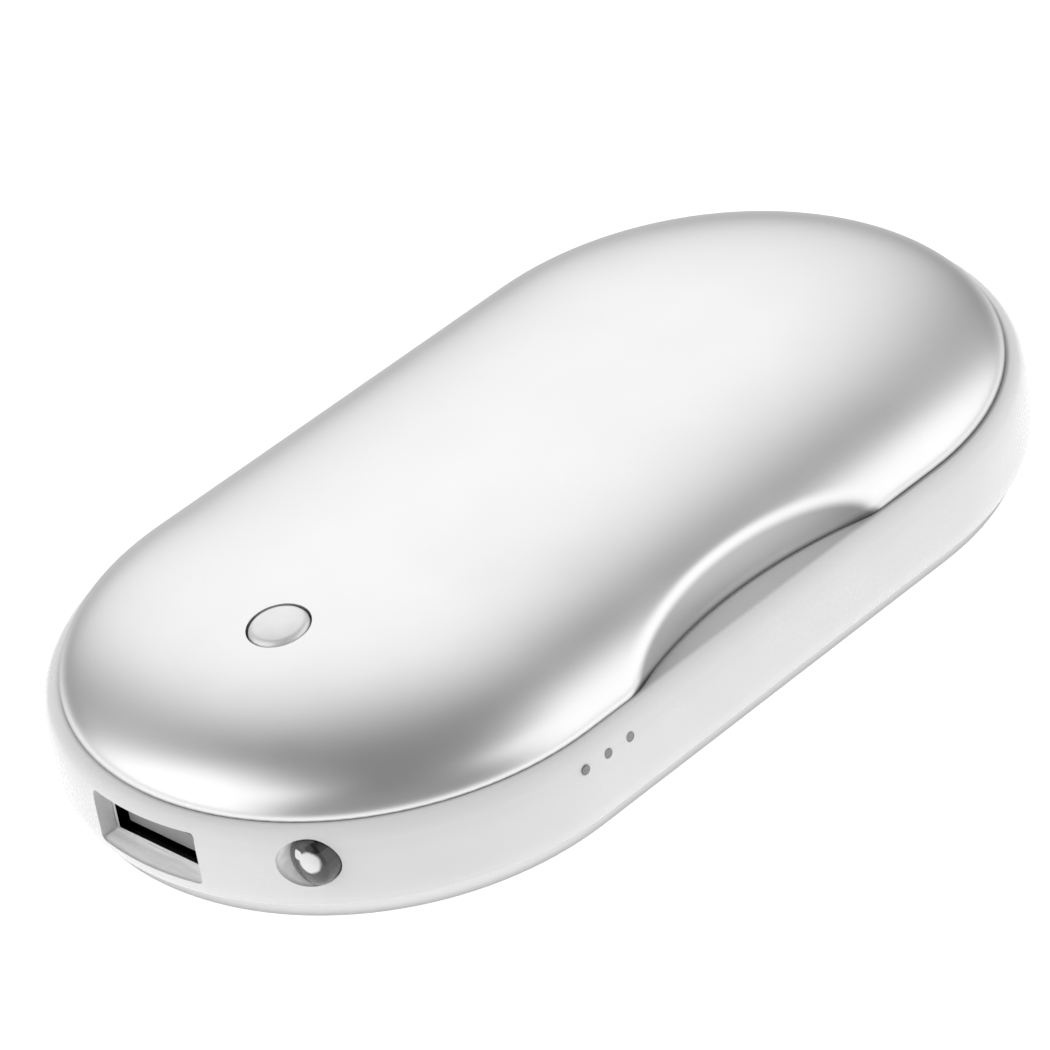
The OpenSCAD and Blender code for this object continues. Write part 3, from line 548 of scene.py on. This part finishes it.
def trackedFilm(name, s):               # a film with faint tracks along the body under it
    finish = Finish(name, Coat_Weight=s["coat"], Coat_Roughness=s["coatRoughness"])
    across = finish.axes()[1] + finish.grain(s["wanderSize"], detail=0) * s["wander"]
    tracks = across.maths("PINGPONG", across, s["pitch"]) < s["width"]
    fine = finish.grain(s["fineSize"])
    return finish.feed(
        Base_Color=finish.mixColours(tracks, s["film"], s["track"]),
        Roughness=finish.spread(fine, *s["roughness"]),
        Normal=finish.bump(tracks + fine * s["fineShare"], s["strength"], s["depth"]))


def domeCurve(turn, out, up):           # a point of the dome's section, from the seam to the crown
    share = 2 / coverSettings["power"]
    return out * math.cos(turn) ** share, up * math.sin(turn) ** share


def domeHeight(reach, inset=0):         # of the dome above the seam
    power = coverSettings["power"]
    out, up = seamRadius - inset, domeRise - inset
    return up * max(0, 1 - (reach / out) ** power) ** (1 / power)


def coverProfile(rise):
    # inner crown, inner face, rolled edge, outer face, outer crown
    s = coverSettings
    rows = []
    out, up = seamRadius - s["wall"], rise - s["wall"]
    hemTop = s["seamGap"] + s["hem"]
    for row in range(s["innerRows"], 0, -1):
        reach, height = domeCurve(math.pi / 2 * row / s["innerRows"], out, up)
        rows.append((reach if row < s["innerRows"] else 0, max(height, hemTop)))
    rows.append((out, s["seamGap"]))
    for row in range(s["hemRows"]):
        turn = math.pi / 2 * row / s["hemRows"]
        rows.append((
            seamRadius - s["hem"] * (1 - math.sin(turn)),
            s["seamGap"] + s["hem"] * (1 - math.cos(turn))))
    first = math.asin((hemTop / rise) ** (s["power"] / 2))
    for row in range(s["outerRows"] + 1):
        turn = first + (math.pi / 2 - first) * row / s["outerRows"]
        reach, height = domeCurve(turn, seamRadius, rise)
        rows.append((reach if row < s["outerRows"] else 0, height))
    return rows


scoopSettings = {
    "chord": 33.3 * mm,
    "depth": 2.85 * mm,
    "middle": -1.05 * mm,
    "skew": 0.27,                       # the arc's middle shifts this much with the wall's height
    "rise": 4 * mm,                     # height at which the wall has run back this far
    "run": 1.8 * mm,
    "curve": 1.3,                       # the wall stands upright at its foot and leans back above
    "blend": 0.8 * mm,                  # width over which the ridge is rounded
    "footGap": 0.28 * mm,               # the foot stands this much higher off the ledge than the seam
    "footFade": 1 * mm,                 # depth and height over which that comes and goes
    "shade": (0.31, 0.45),              # painted shade: tones of the wall at its foot and above
    "shadeRise": 3 * mm,
    "shadeStart": (0.15 * mm, 0.7 * mm),    # depths below the dome
    # painted shade in the scoop's corners and along the wall's foot
    "cornerInset": (4 * mm, 1.2 * mm),      # from the ends of the chord
    "cornerHeight": (0.1 * mm, 0.9 * mm),
    "cornerDepth": (0.06 * mm, 0.3 * mm),
    "cornerShare": 0.8,
    "cornerShadeTone": 0.05,
    "footHeight": (0.3 * mm, 0.6 * mm),
    "footShare": 0.7,
    "footShadeTone": 0.1,
}


def scoopRun(height):                   # how far the wall has run back at a height
    s = scoopSettings
    return s["run"] * (max(0, height) / s["rise"]) ** s["curve"]


def pressScoop(piece):                  # the front face is pushed in to an arc, with a soft ridge
    s = scoopSettings
    arc = ((s["chord"] / 2) ** 2 + s["depth"] ** 2) / (2 * s["depth"])
    middle = seamRadius - s["depth"] + arc
    half = coverSettings["wall"] / 2
    for vertex in piece.data.vertices:
        x, y, z = vertex.co
        height = z - highSeam
        radial = math.hypot(max(0, abs(x) - straight), y)
        outside = radial > seamRadius - half or height > domeHeight(radial, half)
        radius = arc + scoopRun(height) + (0 if outside else coverSettings["wall"])
        across = x - s["middle"] - s["skew"] * max(0, height)
        if y > 0 or abs(across) > radius:
            continue
        pressed = math.sqrt(radius ** 2 - across ** 2) - middle
        near = max(0, s["blend"] - abs(y - pressed)) / s["blend"]
        vertex.co.y = max(y, pressed) + near ** 3 * s["blend"] / 6  # a cubic rounds the ridge
        if height < s["footFade"]:
            pushed = min(1, max(0, pressed - y) / s["footFade"])
            vertex.co.z += s["footGap"] * pushed * (1 - max(0, height) / s["footFade"])


buttonSettings = {
    "gap": 0.2 * mm,                    # between the cap and the cover's hole
    "proud": 0.1 * mm,                  # height of the cap's edge above the cover
    "crown": 0.27 * mm,
    "round": 0.4 * mm,
    "flange": 1.2 * mm,
    "flangeThick": 0.9 * mm,
    "flangeGap": 0.3 * mm,              # between the flange and the cover's inner face
    "stem": 1.5 * mm,
    "crownRows": 8,
    "roundRows": 4,
    "cuts": 64,
    "tones": (0.87, 0.92),
    "roughness": (0.28, 0.38),
    "cloudSize": 2.5 * mm,
    "fineSize": 0.2 * mm,
    "fineStrength": 0.15,
    "fineDepth": 0.01 * mm,
}
buttonLow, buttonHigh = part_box("power_button")
buttonX = (buttonLow.x + buttonHigh.x) / 2
buttonRadius = (buttonHigh.x - buttonLow.x) / 2 - buttonSettings["flange"]
buttonReach = abs(buttonX) - straight   # from the end circle's middle


footSettings = {
    "wider": 0.8 * mm,                  # the bottom shell is this much wider at its seam than the top one
    "higher": 0.5 * mm,                 # and its seam lies this much above the solid's
}
bandFoot = lowSeam + footSettings["higher"]


def makeTopShell():
    s = coverSettings
    piece = startVertex("topShell")
    rows = coverProfile(domeRise)
    drawProfile([Vector((-straight, -reach, highSeam + height)) for reach, height in rows])
    sweepRound(s["endCuts"], s["scoopCuts"], s["plainCuts"])
    bpy.ops.object.mode_set(mode="OBJECT")
    pressScoop(piece)
    hole = buttonRadius + buttonSettings["gap"]
    cutAway(piece, addCutter("rod", (buttonX, 0, domeTop), size=(hole, hole, domeRise / 2)))
    smoothPiece(piece, angle=35)
    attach(piece, "case")
    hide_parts("top_cover")
    piece.data.materials.append(pearl)


def makeBottomShell():
    s = coverSettings
    piece = startVertex("bottomShell")
    wider, deeper = 1 + footSettings["wider"] / seamRadius, bandFoot / lowSeam
    rows = [
        (reach * wider, max(0, bandFoot - height * deeper)) for reach, height in coverProfile(domeRise)]
    drawProfile([Vector((-straight, -reach, height)) for reach, height in rows])
    sweepRound(s["endCuts"], s["plainCuts"], s["plainCuts"])
    bpy.ops.object.mode_set(mode="OBJECT")
    smoothPiece(piece, angle=35)
    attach(piece, "case")
    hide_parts("bottom_cover")
    piece.data.materials.append(pearl)


bandSettings = {
    "power": 5,                         # of the bulge's curve: higher is squarer
    "rows": 22,
    "endCuts": 120,
    "sideCuts": 70,
    "topFlange": 4.2 * mm,              # width of the ledge under the top shell
    "lowFlange": 2.5 * mm,
    "flangeThick": 1.25 * mm,
    "wallInset": 0.6 * mm,              # of the inner wall from the seam
    "past": 1 * mm,                     # cutters stand out of the band by this
}
socketLow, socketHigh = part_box("usb_a_shell")
recessSettings = {
    "sideGap": 0.15 * mm,               # between the shell and the recess
    "topGap": 0.05 * mm,
    "round": 0.5 * mm,
    "deeper": 4 * mm,                   # the recess reaches this far past the shell's mouth
}
inletLow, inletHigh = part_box("inlet_shell")
inletSettings = {"gap": 0.35 * mm, "width": 11.2 * mm, "height": 6 * mm, "depth": 1.1 * mm}
lightSettings = {
    "radius": 0.5 * mm,
    "gap": 0.02 * mm,
    "pitch": 3 * mm,
    "inset": 31.6 * mm,                 # of the middle one from the socket's end
    "drop": 2.1 * mm,                   # below the upper seam
    "reach": 4 * mm,                    # of the holes into the band
}
lampLow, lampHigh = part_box("torch_lamp")
torchPlace = Vector((lampLow.x, (lampLow.y + lampHigh.y) / 2, (lampLow.z + lampHigh.z) / 2))
lampSettings = {
    "rimWidth": 0.4 * mm,
    "rimThick": 1 * mm,
    "rimGap": 0.15 * mm,
    "gap": 0.1 * mm,
    "dome": 1.15 * mm,                  # height of the face's dome
    "forward": 0.8 * mm,                # the face stands this much further out than the solid's
    "faceRows": 16,
    "cuts": 64,
    "resin": 0.075,
    "bright": 0.86,
    "shade": 0.012,
    "cup": (-0.85 * mm, 0.75 * mm, 1.15 * mm, 1.0 * mm),  # a mark's middle, across and up, and half size
    "post": (0.5 * mm, 1.15 * mm, 0.45 * mm, 0.45 * mm),
    "shadow": (-1.3 * mm, 2.1 * mm, 1.0 * mm, 0.35 * mm),
    "markEdge": (0.8, 1.25),            # a mark fades out between these shares of its size
    "wobble": 0.5,
    "roughness": (0.22, 0.34),
    "fineSize": 0.5 * mm,
    "fineStrength": 0.1,
    "fineDepth": 0.03 * mm,
}
lampRadius = (lampHigh.y - lampLow.y) / 2 - lampSettings["rimWidth"]


def bandProfile():                      # the bulge from the lower seam up, then the inner faces
    s = bandSettings
    rows = []
    for row in range(-s["rows"], s["rows"] + 1):
        turn = math.pi / 2 * row / s["rows"]
        seam, edge = (highSeam, seamRadius) if row > 0 else (bandFoot, seamRadius + footSettings["wider"])
        height = bandMiddle + (seam - bandMiddle) * abs(math.sin(turn)) ** (2 / s["power"])
        rows.append((edge + (bandRadius - edge) * math.cos(turn), height))
    inner = seamRadius - s["wallInset"]
    return rows + [
        (seamRadius - s["topFlange"], highSeam),
        (seamRadius - s["topFlange"], highSeam - s["flangeThick"]),
        (inner, highSeam - s["flangeThick"]),
        (inner, bandFoot + s["flangeThick"]),
        (seamRadius - s["lowFlange"], bandFoot + s["flangeThick"]),
        (seamRadius - s["lowFlange"], bandFoot),
    ]


def cutSocketRecess(piece):
    s = recessSettings
    low = (-bandHigh.x - bandSettings["past"], socketLow.y - s["sideGap"], socketLow.z - s["topGap"])
    high = (socketLow.x + s["deeper"], socketHigh.y + s["sideGap"], socketHigh.z + s["topGap"])
    cutAway(piece, roundedCutter(low, high, s["round"], 0))


def cutTorchHole(piece):                # a round hole, with a wider place for the lamp's rim
    s = lampSettings
    turn = (0, math.pi / 2, 0)
    hole = lampRadius + s["gap"]
    length = bandHigh.x - abs(lampHigh.x) + bandSettings["past"]
    mouth = (-bandHigh.x, torchPlace.y, torchPlace.z)
    cutAway(piece, addCutter("rod", mouth, turn, (hole, hole, length)))
    rim = hole + s["rimWidth"]
    back = (lampHigh.x, torchPlace.y, torchPlace.z)
    cutAway(piece, addCutter("rod", back, turn, (rim, rim, s["rimThick"] + s["rimGap"])))


def cutLightHoles(piece):
    s = lightSettings
    radius = s["radius"] + s["gap"]
    for step in (-1, 0, 1):
        place = (-bandHigh.x + s["inset"] + step * s["pitch"], -bandRadius, highSeam - s["drop"])
        cutAway(piece, addCutter("rod", place, (math.pi / 2, 0, 0), (radius, radius, s["reach"])))


def cutInlet(piece):                    # a slot round the shell, in a wider shallow recess
    s = inletSettings
    low, high, past = inletLow, inletHigh, bandSettings["past"]
    slotLow = (low.x - s["gap"], high.y - past, low.z - s["gap"])
    slotHigh = (high.x + s["gap"], bandRadius + past, high.z + s["gap"])
    half = (high.z - low.z + 2 * s["gap"]) / 2
    cutAway(piece, roundedCutter(slotLow, slotHigh, half - nearly, 1))
    middleX, middleZ = (low.x + high.x) / 2, (low.z + high.z) / 2
    halfWidth, halfHeight = s["width"] / 2, s["height"] / 2
    recessLow = (middleX - halfWidth, bandRadius - s["depth"], middleZ - halfHeight)
    recessHigh = (middleX + halfWidth, bandRadius + past, middleZ + halfHeight)
    cutAway(piece, roundedCutter(recessLow, recessHigh, halfHeight - nearly, 1))


def makeSideBand():
    s = bandSettings
    piece = startVertex("sideBand")
    drawProfile([Vector((-straight, -reach, height)) for reach, height in bandProfile()], closed=True)
    sweepRound(s["endCuts"], s["sideCuts"], s["sideCuts"])
    bpy.ops.object.mode_set(mode="OBJECT")
    cutSocketRecess(piece)
    cutTorchHole(piece)
    cutLightHoles(piece)
    cutInlet(piece)
    smoothPiece(piece, angle=32)
    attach(piece, "case")
    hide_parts("side_band")
    piece.data.materials.append(white)


def buttonGrey():
    s = buttonSettings
    finish = Finish("buttonGrey", Metallic=0.4)
    clouds = finish.grain(s["cloudSize"])
    fine = finish.grain(s["fineSize"])
    dark, light = s["tones"]
    return finish.feed(
        Base_Color=finish.mixColours(finish.spread(clouds), grey(dark), grey(light)),
        Roughness=finish.spread(fine, *s["roughness"]),
        Normal=finish.bump(fine, s["fineStrength"], s["fineDepth"]))


def makeButtonCap():
    s = buttonSettings
    face = highSeam + domeHeight(buttonReach) + s["proud"]
    points = [(0, s["crown"])]
    for row in range(1, s["crownRows"] + 1):
        reach = (buttonRadius - s["round"]) * row / s["crownRows"]
        points.append((reach, s["crown"] * (1 - (reach / buttonRadius) ** 2)))
    for row in range(1, s["roundRows"] + 1):
        turn = math.pi / 2 * row / s["roundRows"]
        points.append((buttonRadius - s["round"] * (1 - math.sin(turn)), s["round"] * (math.cos(turn) - 1)))
    under = -(s["proud"] + coverSettings["wall"] + s["flangeGap"])
    foot = buttonLow.z - face
    points += [
        (buttonRadius, under), (buttonRadius + s["flange"], under),
        (buttonRadius + s["flange"], under - s["flangeThick"]), (s["stem"], under - s["flangeThick"]),
        (s["stem"], foot), (0, foot)]
    piece = spinProfile(
        "buttonCap", [Vector((buttonX + reach, 0, face + height)) for reach, height in points],
        (buttonX, 0, 0), (0, 0, 1), s["cuts"])
    stemTop = face + under - 1.5 * s["flangeThick"]
    for vertex in piece.data.vertices:  # all but the stem's end follows the dome's slope
        reach = math.hypot(max(0, abs(vertex.co.x) - straight), vertex.co.y)
        if vertex.co.z > stemTop:
            vertex.co.z += domeHeight(reach) - domeHeight(buttonReach)
    smoothPiece(piece, angle=40)
    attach(piece, "button")
    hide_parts("power_button")
    piece.data.materials.append(buttonGrey())


def lampResin():                        # smoky resin with a bright cup and post showing in it
    s = lampSettings
    finish = Finish("lampResin", Coat_Weight=0.3, Coat_Roughness=0.15, IOR=1.4)
    y, z = finish.axes()[1:]
    across, up = y - torchPlace.y, z - torchPlace.z
    fine = finish.grain(s["fineSize"], detail=3, rough=0.6)
    wobble = (fine - 0.5) * s["wobble"]

    def spot(middleY, middleZ, halfY, halfZ, power=2):  # power 4 gives a squarer mark
        out = ((across - middleY) / halfY).size() ** power + ((up - middleZ) / halfZ).size() ** power
        return finish.fade(out + wobble, *s["markEdge"])

    tone = finish.mixColours(spot(*s["shadow"]), grey(s["resin"]), grey(s["shade"]))
    tone = finish.mixColours(spot(*s["cup"]), tone, grey(s["bright"]))
    tone = finish.mixColours(spot(*s["post"], 4), tone, grey(s["bright"]))
    return finish.feed(
        Base_Color=tone, Roughness=finish.spread(fine, *s["roughness"]),
        Normal=finish.bump(fine, s["fineStrength"], s["fineDepth"]))


def makeTorchLamp():
    s = lampSettings
    tip = lampLow.x - s["forward"]
    points = []
    for row in range(s["faceRows"] + 1):
        turn = math.pi / 2 * row / s["faceRows"]
        points.append((tip + s["dome"] * (1 - math.cos(turn)), lampRadius * math.sin(turn)))
    points += [
        (lampHigh.x - s["rimThick"], lampRadius), (lampHigh.x - s["rimThick"], lampRadius + s["rimWidth"]),
        (lampHigh.x, lampRadius + s["rimWidth"]), (lampHigh.x, 0)]
    piece = spinProfile(
        "torchLamp", [Vector((x, torchPlace.y + reach, torchPlace.z)) for x, reach in points],
        torchPlace, (1, 0, 0), s["cuts"])
    smoothPiece(piece, angle=40)
    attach(piece, "case")
    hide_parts("torch_lamp")
    piece.data.materials.append(lampResin())


cameraSettings = {                      # fitted to the photo
    "azimuth": math.radians(-40.83),
    "elevation": math.radians(33.69),
    "roll": math.radians(-10.37),
    "distance": 632.32 * mm,
    "right": -4.031 * mm,
    "up": 11.841 * mm,
    "drop": 0.3 * mm,
    "lens": 220.12,
}


def makeCamera():
    s = cameraSettings
    turn, rise, roll = s["azimuth"], s["elevation"], s["roll"]
    back = Vector((math.sin(turn) * math.cos(rise), -math.cos(turn) * math.cos(rise), math.sin(rise)))
    level = Vector((math.cos(turn), math.sin(turn), 0))
    upright = back.cross(level)
    right = level * math.cos(roll) + upright * math.sin(roll)
    up = upright * math.cos(roll) - level * math.sin(roll)
    place = back * s["distance"] + right * s["right"] + up * s["up"] - Vector((0, 0, s["drop"]))
    bpy.ops.object.camera_add()
    camera = bpy.context.object
    camera.matrix_world = Matrix((
        (right.x, up.x, back.x, place.x), (right.y, up.y, back.y, place.y),
        (right.z, up.z, back.z, place.z), (0, 0, 0, 1)))
    camera.data.lens = s["lens"]
    camera.data.sensor_width = 36
    camera.data.clip_start = 0.01
    bpy.context.scene.camera = camera


studioSettings = {
    "floorSize": 6,
    "floorCuts": 30,
    "floorGrey": 0.80,
    "floorGlow": 0.70,
    "floorPool": (0.12, 0.22),          # the glow fades between these distances from the part's middle
    "fibreSize": 4 * mm,
    "fibreTone": 0.004,
    "panels": [                         # middle, half width, bottom and top of each, in degrees
        {"middle": -43, "half": 38, "light": 1.25, "bottom": (-60, -50), "top": (53, 79)},
        {"middle": 54, "half": 21, "light": 1.27, "bottom": (-6, 11), "top": (51, 73)},
        {"middle": 150, "half": 33, "light": 1.36, "bottom": (-60, -50), "top": (57, 81)},
    ],
    "panelEdge": 13,
    "gapLight": 0.46,                   # of the wall between the panels
    "horizonLight": 0.34,
    "horizon": (0, 26),
    "ceiling": (40, 72),
    "ceilingLight": 0.19,
    "cameraSide": -125,                 # the wall is darker behind the camera
    "cameraSideWidth": 50,
    "cameraSideEdge": 30,
    "cameraSideLight": 0.29,
}


def rising(sky, up, angles):            # 0 below the first angle above the horizon, 1 over the second
    low, high = [math.sin(math.radians(angle)) for angle in angles]
    return sky.between(up, low, high, 0, 1, "SMOOTHSTEP")


def towards(sky, x, y, middle, half, edge):
    # 1 within an angle of a compass direction, fading to 0 over the edge
    turn = math.radians(middle)
    level = (x * x + y * y) ** 0.5 + 0.0001     # never 0, straight up included
    ahead = (x * math.cos(turn) + y * math.sin(turn)) / level
    low, high = [math.cos(math.radians(half + side * edge)) for side in (1, -1)]
    return sky.between(ahead, low, high, 0, 1, "SMOOTHSTEP")


def makeFloor():                        # white paper with a pool of light round the part
    s = studioSettings
    clearSelection()
    bpy.ops.mesh.primitive_plane_add(size=s["floorSize"])
    floor = bpy.context.object
    floor.name = "studioFloor"
    editPiece(floor)
    bpy.ops.mesh.select_all(action="SELECT")
    bpy.ops.mesh.subdivide(number_cuts=s["floorCuts"])
    bpy.ops.object.mode_set(mode="OBJECT")
    paper = Finish("paperFloor", Roughness=0.85, Emission_Strength=s["floorGlow"])
    fibres = paper.grain(s["fibreSize"], detail=3)
    tone = paper.mixColours(
        paper.spread(fibres), grey(s["floorGrey"] - s["fibreTone"]), grey(s["floorGrey"]))
    x, y = paper.axes()[:2]
    pool = paper.between((x * x + y * y) ** 0.5, *s["floorPool"], 1, 0, "SMOOTHSTEP")
    glow = paper.mixColours(pool, grey(0), grey(1))
    floor.data.materials.append(paper.feed(Base_Color=tone, Emission_Color=glow))


def makeSky():                          # soft panels in a grey room, for the metal to reflect
    s = studioSettings
    world = bpy.data.worlds.new("studioSky")
    world.use_nodes = True
    bpy.context.scene.world = world
    sky = Nodes()
    sky.tree = world.node_tree
    x, y, z = sky.parts(sky.node("ShaderNodeTexCoord", output="Generated"))
    away = towards(sky, x, y, s["cameraSide"], s["cameraSideWidth"], s["cameraSideEdge"])
    wall = s["gapLight"] + (s["cameraSideLight"] - s["gapLight"]) * away
    low = rising(sky, z, s["horizon"])
    wall = s["horizonLight"] * (1 - low) + wall * low
    light = wall + (s["ceilingLight"] - wall) * rising(sky, z, s["ceiling"])
    for panel in s["panels"]:
        mask = towards(sky, x, y, panel["middle"], panel["half"], s["panelEdge"])
        mask = mask * rising(sky, z, panel["bottom"]) * (1 - rising(sky, z, panel["top"]))
        light = light + (panel["light"] - light) * mask
    sky.tree.links.new(light.socket, sky.tree.nodes["Background"].inputs[0])
    bpy.context.scene.view_settings.view_transform = "Standard"


makeCamera()
makeFloor()
makeSky()
print("camera and studio made")

pearl, white = pearlMetal(), whiteGloss()
makeTopShell()
print("top shell made")
makeBottomShell()
print("bottom shell made")
makeSideBand()
print("band made")
makeButtonCap()
makeTorchLamp()
print("button and torch made")

finishes = {
    "framePlastic": mouldedPlastic("framePlastic", (0.80, 0.80, 0.77)),
    "blackPlastic": mouldedPlastic("blackPlastic", (0.03, 0.03, 0.033), 0.42),
    "tongueGrey": mouldedPlastic("tongueGrey", (0.33, 0.33, 0.33), 0.45),
    "nickel": platedMetal("nickel", (0.74, 0.73, 0.71), 0.24, (1, 1, 0.15)),
    "gold": platedMetal("gold", (0.16, 0.13, 0.09), 0.35),
    "smokedPipe": mouldedPlastic("smokedPipe", (0.26, 0.26, 0.265), 0.3),
    "ceramic": mouldedPlastic("ceramic", (0.72, 0.62, 0.42), 0.5),
    "greenWrap": mouldedPlastic("greenWrap", (0.05, 0.28, 0.20), 0.3),
    "paperRing": mouldedPlastic("paperRing", (0.72, 0.64, 0.46), 0.8),
    "redWire": mouldedPlastic("redWire", (0.50, 0.02, 0.015), 0.45),
    "blackWire": mouldedPlastic("blackWire", (0.02, 0.02, 0.02), 0.45),
    "whiteWire": mouldedPlastic("whiteWire", (0.75, 0.75, 0.72), 0.45),
    "padFoam": mouldedPlastic("padFoam", (0.10, 0.10, 0.11), 0.85),
    "glassBead": mouldedPlastic("glassBead", (0.55, 0.30, 0.12), 0.15),
    "ferrite": mouldedPlastic("ferrite", (0.05, 0.05, 0.055), 0.6),
    "zinc": platedMetal("zinc", (0.62, 0.62, 0.63), 0.3),
    "socketShell": socketMetal("socketShell", socketLow, socketHigh, 0),
    "inletShell": socketMetal("inletShell", inletLow, inletHigh, 1),
    "boardGreen": trackedFilm("boardGreen", boardSettings),
    "heaterAmber": trackedFilm("heaterAmber", heaterSettings),
}
nodeFinishes = {
    "framePlastic": ["top_carrier", "bottom_carrier"],
    "blackPlastic": [
        "switch_body", "switch_plunger", "inlet_tongue", "torch_lamp_holder",
        "charge_chip", "control_chip"],
    "tongueGrey": ["usb_a_tongue"],
    "socketShell": ["usb_a_shell"],
    "inletShell": ["inlet_shell"],
    "nickel": ["torch_lamp_frame", "cell_cans", "cell_caps", "positive_strip", "negative_strip"],
    "gold": ["usb_a_contacts", "inlet_contacts"],
    "smokedPipe": ["light_pipe"],
    "ceramic": ["charge_lights", "capacitors"],
    "greenWrap": ["cell_wraps"],
    "paperRing": ["cell_insulators"],
    "redWire": ["battery_lead_red"],
    "blackWire": ["battery_lead_black"],
    "whiteWire": ["top_heater_leads", "bottom_heater_leads", "sensor_leads"],
    "padFoam": ["top_pad", "bottom_pad"],
    "glassBead": ["temperature_sensor"],
    "ferrite": ["boost_coil"],
    "zinc": ["long_screws", "board_screws"],
    "boardGreen": ["circuit_board"],
    "heaterAmber": ["top_heater", "bottom_heater"],
}
for finishName, members in nodeFinishes.items():
    for member in members:
        for materialSlot in nodes[member].material_slots:
            materialSlot.material = finishes[finishName]
print("finishes given")
